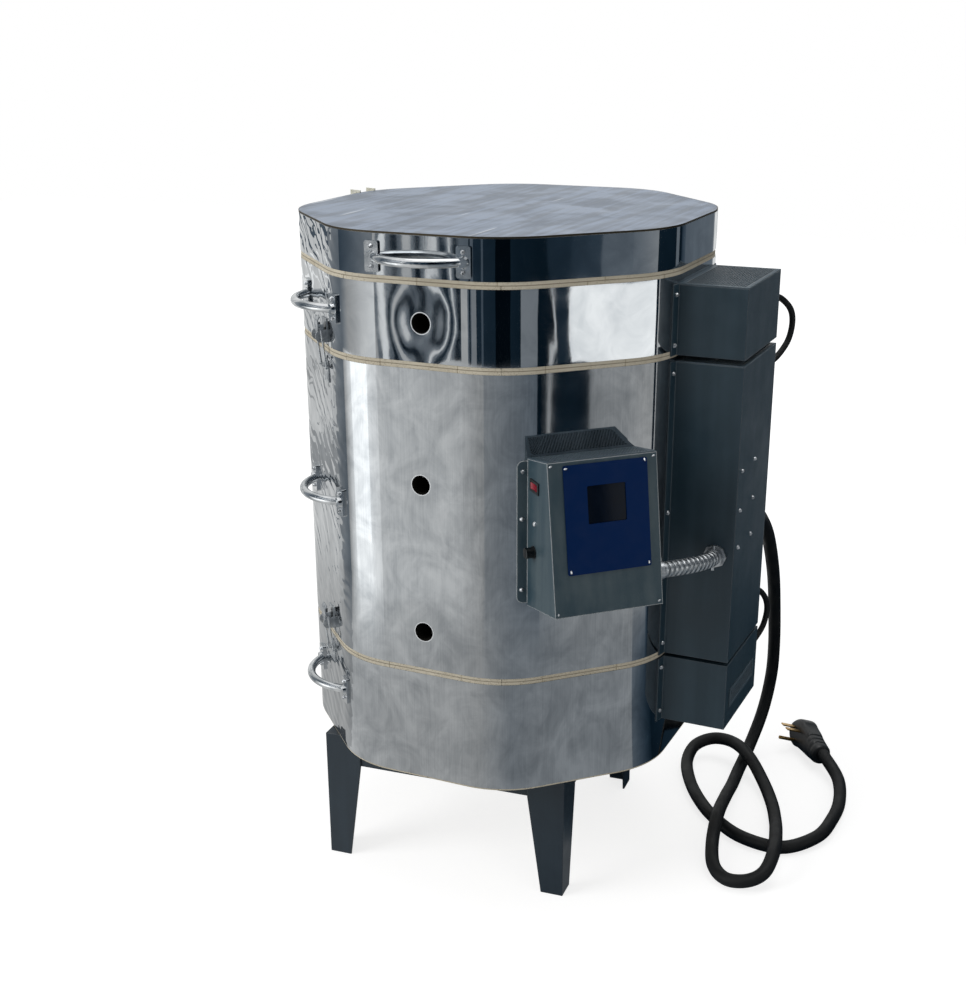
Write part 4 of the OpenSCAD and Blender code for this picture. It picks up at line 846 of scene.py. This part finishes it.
class KILN_OT_hardware(Operator):
    """Finish the handles, latches, hinge, clamp, screws and glands."""

    bl_idname = "kiln.hardware"
    bl_label = "Hardware"

    def execute(self, context):
        chrome = plated_metal("chrome_plate", linear("dfe1e3"), linear("b4b8bb"), 0.12, 25)
        zinc = plated_metal("bright_zinc_plate", linear("d6d9db"), linear("a3a7ab"), 0.34, 12)
        steel = plated_metal("zinc_plated_screw", linear("e8eaec"), linear("c2c5c8"), 0.42, 5)
        dress(chrome, *nodes_like("handle"))
        dress(zinc, *nodes_like("latch", "hinge", "conduit_connectors"))
        dress(plated_metal("cast_zinc", linear("e2dfd2"), linear("c2c0b2"), 0.5, 8), *nodes_like("lid_clamp"))
        for node, body in (("case_screws", "kiln"), ("lid_screws", "lid")):
            heads = islands(node)
            if body == "kiln":
                side = on_face(1) @ Matrix.Translation((CONTROL_SHIFT - CONTROL_HALF, -SIDE_SCREW_DEPTH,
                                                        SIDE_SCREW_Z))
                heads.append([side @ Vector((-tall, radius * math.cos(turn), radius * math.sin(turn)))
                              for tall, radius in SIDE_SCREW for turn in around(24)])
            shape = bmesh.new()
            for points in heads:
                screw_head(shape, points)
            mesh_piece(context, node.replace("screws", "recessed_screws"), shape, steel, body,
                       [node], 30)
        nylon = moulded_plastic("black_nylon", linear("15181a"), 0.45, 0.8)
        dress(nylon, "cord_glands", "switch_and_fuse_bodies")
        dress(moulded_plastic("black_bakelite", linear("07090b"), 0.3, 0.8, 0.0), "fuse_cap")
        dress(moulded_plastic("glazed_porcelain", linear("e4ded0"), 0.22, 3), "terminal_blocks")
        dress(moulded_plastic("black_phenolic", linear("1b1d1f"), 0.4, 1), "relays")
        dress(plated_metal("varnished_iron", linear("6e6350"), linear("4a4234"), 0.5, 3), "transformer")
        dress(plated_metal("plain_brass", linear("c9a56a"), linear("a07f48"), 0.28, 8), "plug_blades")
        return {"FINISHED"}


class KILN_OT_control(Operator):
    """Finish the control panel, its display and the power switch."""

    bl_idname = "kiln.control"
    bl_label = "Control Panel"

    def execute(self, context):
        colours = context.scene.kiln_finish
        dress(moulded_plastic("polyester_panel_film", colours.panel, 0.34, 0.6, 0.01, 0.08), "control_panel")
        dress(display_glass(), "controller_board")
        dress(moulded_plastic("red_polycarbonate", linear("861226"), 0.2, 2), "power_rocker")
        return {"FINISHED"}


class KILN_OT_conduit(Operator):
    """Build the ribbed metal conduit between the control box and the wiring box."""

    bl_idname = "kiln.conduit"
    bl_label = "Conduit"

    def execute(self, context):
        sizes = context.scene.kiln_sizes
        corner = math.cos(math.pi / 4)
        a, d = CONDUIT_START, CONDUIT_END
        b = a + CONDUIT_BEND * Vector((corner, corner, 0))
        c = d - Vector((0, CONDUIT_BEND, 0))
        # One rib: a rounded crest, then the narrow groove where the strip hooks into itself
        profile = [0.80, 0.94, 0.98, 1.0, 1.0, 1.0, 1.0, 1.0, 1.0, 0.98, 0.94, 0.80]
        n = sizes.conduit_ribs * len(profile)
        line = [bezier(a, b, c, d, i / n) for i in range(n + 1)]
        radii = [sizes.conduit_diameter / 2 * profile[i % len(profile)] for i in range(n + 1)]
        shape = bmesh.new()
        sweep(shape, line, radii, 40)
        metal = plated_metal("galvanised_strip", linear("d2d5d7"), linear("abafb2"), 0.34, 6)
        mesh_piece(context, "ribbed_conduit", shape, metal, replaced=["conduit"], sharp_deg=60)
        return {"FINISHED"}


class KILN_OT_leads(Operator):
    """Lay the mains lead and the two short leads between the boxes."""

    bl_idname = "kiln.leads"
    bl_label = "Leads"

    def execute(self, context):
        sizes, colours = context.scene.kiln_sizes, context.scene.kiln_finish
        rubber = moulded_plastic("neoprene_cord_jacket", colours.rubber, 0.6, 1.2, 0.02, 0.35)
        lead, length = lead_piece(context, "mains_lead", LEAD_ROUTE, sizes.lead_diameter, 8)
        lead.data.materials.append(rubber)
        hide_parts("power_cord")
        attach(lead, "kiln")
        for name, route in JUMPER_ROUTES.items():
            jumper, length = lead_piece(context, name, route, sizes.jumper_diameter, 10)
            jumper.data.materials.append(rubber)
            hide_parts("jumper_cords")
            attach(jumper, "kiln")
        return {"FINISHED"}


class KILN_OT_plug(Operator):
    """Mould the angled plug on the end of the mains lead."""

    bl_idname = "kiln.plug"
    bl_label = "Plug"

    def execute(self, context):
        end, before = Vector(LEAD_ROUTE[-1]), Vector(LEAD_ROUTE[-2])
        way = end - before
        # The plug goes on where the lead ends, rolled by 18 degrees
        place = (Matrix.Translation(end) @ Matrix.Rotation(math.atan2(way.y, way.x), 4, "Z")
                 @ Matrix.Rotation(math.radians(18), 4, "X"))
        # Its head is round, with its middle on the neck's line, and flat in front and behind
        head_x, head_r, front, back = 0.084, 0.0268, 0.0145, -0.0215
        middle, half = (front + back) / 2, (front - back) / 2
        # Sections along the neck and head: place, half height, half thickness, squareness and rise
        sections = []
        for x, r in ((0.0, 0.0150), (0.001, 0.0172), (0.004, 0.0182), (0.012, 0.0186), (0.013, 0.0178),
                     (0.016, 0.0178), (0.017, 0.0190), (0.024, 0.0196), (0.025, 0.0186), (0.028, 0.0186),
                     (0.029, 0.0200), (0.036, 0.0206), (0.037, 0.0196), (0.040, 0.0196), (0.041, 0.0212),
                     (0.050, 0.0222)):
            sections.append((x, r, min(r, half), 2.2 + 30 * x, -0.003 * (1 - x / 0.06)))
        for k in range(1, 15):
            a = math.pi * (0.30 + 0.70 * k / 14)
            x = head_x - head_r * math.cos(a)
            z = max(head_r * math.sin(a), 0.002) if a > math.pi / 2 else max(head_r * math.sin(a), 0.0232)
            sections.append((x, z, half * (1.0 if k < 12 else (0.96, 0.9, 0.8)[k - 12]), 5.0, 0.0))
        shape = bmesh.new()
        rings = []
        for x, tall, thick, square, raised in sections:
            # The neck is round about the lead, and the head lies about its own middle
            blend = min(1.0, max(0.0, (x - 0.03) / 0.03))
            ring = []
            for turn in around(48):
                y, z = (math.copysign(abs(part) ** (2.0 / square), part)
                        for part in (math.cos(turn), math.sin(turn)))
                point = Vector((x, middle * blend + thick * y, raised + tall * z))
                ring.append(shape.verts.new(place @ point))
            rings.append(ring)
        skin_with_ends(shape, rings)
        rubber = moulded_plastic("moulded_plug_rubber", linear("121518"), 0.42, 1.0)
        mesh_piece(context, "plug_shell", shape, rubber, replaced=["plug_body"], sharp_deg=35)
        return {"FINISHED"}


def seen_white(tree):
    """1 for camera, glossy and transmission rays, which see the white studio."""
    rays = add(tree, "LightPath")
    camera, glossy, passing = (rays.outputs[f"Is {kind} Ray"]
                               for kind in ("Camera", "Glossy", "Transmission"))
    seen = add(tree, "Math", (camera, glossy), operation="MAXIMUM")
    return add(tree, "Math", (seen, passing), operation="MAXIMUM")


def slices(start, end, first, last):
    """Cuts a card into parts of about four degrees: (from, to, tone at either end) of each."""
    steps = max(1, round(abs(end - start) / 4))
    for k in range(steps):
        a, b = (start + (end - start) * n / steps for n in (k, k + 1))
        p, q = (first + (last - first) * n / steps for n in (k, k + 1))
        yield a, b, p, q


class KILN_OT_studio(Operator):
    """Set up the floor, the lamps and the camera."""

    bl_idname = "kiln.studio"
    bl_label = "Studio"

    def execute(self, context):
        studio = context.scene.kiln_studio
        self.floor(context, studio)
        self.cards(context)
        self.world(context, studio)
        for name, power, place, size in (
            ("key_lamp", studio.key_power, (-2.4, -2.6, 2.3), 2.2),
            ("fill_lamp", studio.fill_power, (2.8, -1.4, 1.6), 1.8),
            ("top_lamp", studio.top_power, (0.3, 0.4, 3.4), 2.4),
        ):
            lamp = bpy.data.lights.new(name, "AREA")
            lamp.energy = power
            lamp.size = size
            lamp.use_shadow = True
            holder = bpy.data.objects.new(name, lamp)
            holder.location = place
            aim = Vector((0, 0, 0.55)) - Vector(place)
            holder.rotation_euler = aim.to_track_quat("-Z", "Y").to_euler()
            context.collection.objects.link(holder)
        self.camera(context)
        context.scene.view_settings.view_transform = "Standard"
        return {"FINISHED"}

    def floor(self, context, studio):
        """Pale floor: white to the camera and in reflections, and it keeps the kiln's shadow."""
        mesh = bpy.data.meshes.new("studio_floor")
        half = 7.0
        mesh.from_pydata([(x, y, 0) for x, y in rectangle(-half, -half, half, half)], [], [(0, 1, 2, 3)])
        mat, tree, where = begin("pale_floor")
        matt = add(tree, "BsdfDiffuse", {"Color": studio.floor, "Roughness": 0.8})
        through = seen_white(tree)
        # Near the kiln part of the white is lit, so that its shadow shows, and further off all of it glows
        away = add(tree, "VectorMath", (where,), operation="LENGTH")
        glowing = add(tree, "MapRange", (away, 0.9, 2.2, 0.78, 1.0))
        glow = add(tree, "Emission", {"Color": (1.0, 1.0, 1.0, 1.0), "Strength": glowing})
        thin = add(tree, "BsdfDiffuse", {"Color": (0.42, 0.42, 0.42, 1.0)})
        white = add(tree, "AddShader", (glow, thin))
        mixed = add(tree, "MixShader", (through, matt, white))
        add(tree, "OutputMaterial", {"Surface": mixed})
        mesh.materials.append(mat)
        floor = bpy.data.objects.new("studio_floor", mesh)
        context.collection.objects.link(floor)

    def cards(self, context):
        """Curved cards round the kiln and flat ones on the floor, seen by glossy surfaces alone."""
        shape = bmesh.new()
        tones = shape.loops.layers.float_color.new("tone")

        def card(corners, values):
            """Adds a card by the angle, reach and height of its corners, with a tone at each."""
            face = shape.faces.new([shape.verts.new(at(*corner)) for corner in corners])
            for loop, value in zip(face.loops, values):
                loop[tones] = (value, value, value, 1.0)

        def at(turn, reach, height):
            """A point round the kiln."""
            turn = math.radians(turn)
            return Vector((reach * math.sin(turn), -reach * math.cos(turn), height))

        def wall_tone(turn):
            """Tone of the wall's foot at an angle."""
            for start, end, low, _, first, last in CARDS:
                if low == 0.0 and start <= turn <= end:
                    return first + (last - first) * (turn - start) / (end - start)
            return 0.5

        walls = [(*wall, CARD_RADIUS) for wall in CARDS]
        walls += [(*strip, strip[-1], CARD_RADIUS - 0.006) for strip in STRIPS]
        for start, end, low, high, first, last, reach in walls:
            for a, b, p, q in slices(start, end, first, last):
                card(((a, reach, low), (b, reach, low), (b, reach, high), (a, reach, high)), (p, q, q, p))
        # Towards the wall the floor takes on the wall's tone
        reaches = (0.02, *(FLOOR_BLEND + (CARD_RADIUS - FLOOR_BLEND) * n / 4 for n in range(5)))
        shares = (0.0, *((n / 4) ** 2 for n in range(5)))
        for floor_card in FLOOR_CARDS:
            for a, b, p, q in slices(*floor_card):
                for near, far, less, more in zip(reaches, reaches[1:], shares, shares[1:]):
                    values = [tone + (wall_tone(turn) - tone) * share for tone, turn, share in
                              ((p, a, less), (q, b, less), (q, b, more), (p, a, more))]
                    card([(turn, reach, 0.001) for turn, reach in ((a, near), (b, near), (b, far), (a, far))],
                         values)
        mesh = bpy.data.meshes.new("studio_cards")
        shape.to_mesh(mesh)
        shape.free()
        mat, tree, _ = begin("studio_card")
        tone = add(tree, "VertexColor", layer_name="tone")
        # Dim cards are bluish, and bright ones are white
        colour = tint(tree, (tone.outputs["Color"], 0.03, 0.50), linear("5f9cc8"), linear("fafbfa"))
        glow = add(tree, "Emission", {"Color": colour, "Strength": tone.outputs["Color"]})
        add(tree, "OutputMaterial", {"Surface": glow})
        mat.cycles.emission_sampling = "NONE"
        mesh.materials.append(mat)
        cards = bpy.data.objects.new("studio_cards", mesh)
        cards.visible_camera = cards.visible_diffuse = cards.visible_transmission = False
        cards.visible_shadow = cards.visible_volume_scatter = False
        context.collection.objects.link(cards)

    def world(self, context, studio):
        """Even light from all sides, seen as white."""
        world = bpy.data.worlds.new("studio")
        world.use_nodes = True
        tree = world.node_tree
        tree.nodes.clear()
        through = seen_white(tree)
        room = add(tree, "Background", {"Color": (1.0, 1.0, 1.0, 1.0), "Strength": studio.sky})
        white = add(tree, "Background", {"Color": (1.0, 1.0, 1.0, 1.0), "Strength": 1.0})
        mixed = add(tree, "MixShader", (through, room, white))
        add(tree, "OutputWorld", {"Surface": mixed})
        context.scene.world = world

    def camera(self, context):
        """Camera at the photograph's place and angle."""
        azimuth, turn = math.radians(23.9637), math.radians(1.3731)
        pitch, roll = math.radians(21.0916), math.radians(-0.4878)
        distance, height = 2.2696, 1.3088
        ahead = Vector((-math.sin(azimuth + turn), math.cos(azimuth + turn), 0)) * math.cos(pitch)
        ahead.z = -math.sin(pitch)
        right = ahead.cross(Vector((0, 0, 1))).normalized()
        up = right.cross(ahead)
        right, up = (right * math.cos(roll) + up * math.sin(roll),
                     up * math.cos(roll) - right * math.sin(roll))
        lens = bpy.data.cameras.new("camera")
        # The photograph's width and height, focal length and optical centre, in pixels
        wide, high, focal, centre_x, centre_y = 966, 1001, 1487.71, 473.85, 580.98
        lens.sensor_fit = "VERTICAL"
        lens.sensor_height = 36.0
        lens.lens = focal / high * lens.sensor_height
        lens.shift_x = (wide / 2 - centre_x) / high
        lens.shift_y = (centre_y - high / 2) / high
        lens.clip_end = 50
        camera = bpy.data.objects.new("camera", lens)
        turned = Matrix((right, up, -ahead)).transposed().to_4x4()
        place = Vector((math.sin(azimuth) * distance, -math.cos(azimuth) * distance, height))
        camera.matrix_world = Matrix.Translation(place) @ turned
        context.collection.objects.link(camera)
        context.scene.camera = camera


class KILN_PT_panel(Panel):
    """Lists the kiln's pieces, sizes and colours."""

    bl_idname = "KILN_PT_panel"
    bl_label = "Electric Kiln"
    bl_space_type = "VIEW_3D"
    bl_region_type = "UI"
    bl_category = "Kiln"

    def draw(self, context):
        for operator in OPERATORS:
            self.layout.operator(operator.bl_idname)
        for group in (context.scene.kiln_finish, context.scene.kiln_sizes, context.scene.kiln_studio):
            box = self.layout.box()
            for name in group.bl_rna.properties.keys():
                if name not in ("rna_type", "name"):
                    box.prop(group, name)


OPERATORS = (KILN_OT_plug, KILN_OT_leads, KILN_OT_sheet_metal, KILN_OT_brickwork, KILN_OT_elements,
             KILN_OT_coats, KILN_OT_hardware, KILN_OT_control, KILN_OT_conduit, KILN_OT_studio)
GROUPS = {"kiln_finish": KilnFinish, "kiln_sizes": KilnSizes, "kiln_studio": KilnStudio}


def register():
    for cls in (*GROUPS.values(), *OPERATORS, KILN_PT_panel):
        bpy.utils.register_class(cls)
    for name, group in GROUPS.items():
        setattr(bpy.types.Scene, name, PointerProperty(type=group))


def unregister():
    for name in GROUPS:
        delattr(bpy.types.Scene, name)
    for cls in reversed((*GROUPS.values(), *OPERATORS, KILN_PT_panel)):
        bpy.utils.unregister_class(cls)


def main():
    register()
    for operator in OPERATORS:
        group, name = operator.bl_idname.split(".")
        getattr(getattr(bpy.ops, group), name)()


if __name__ == "__main__":
    main()
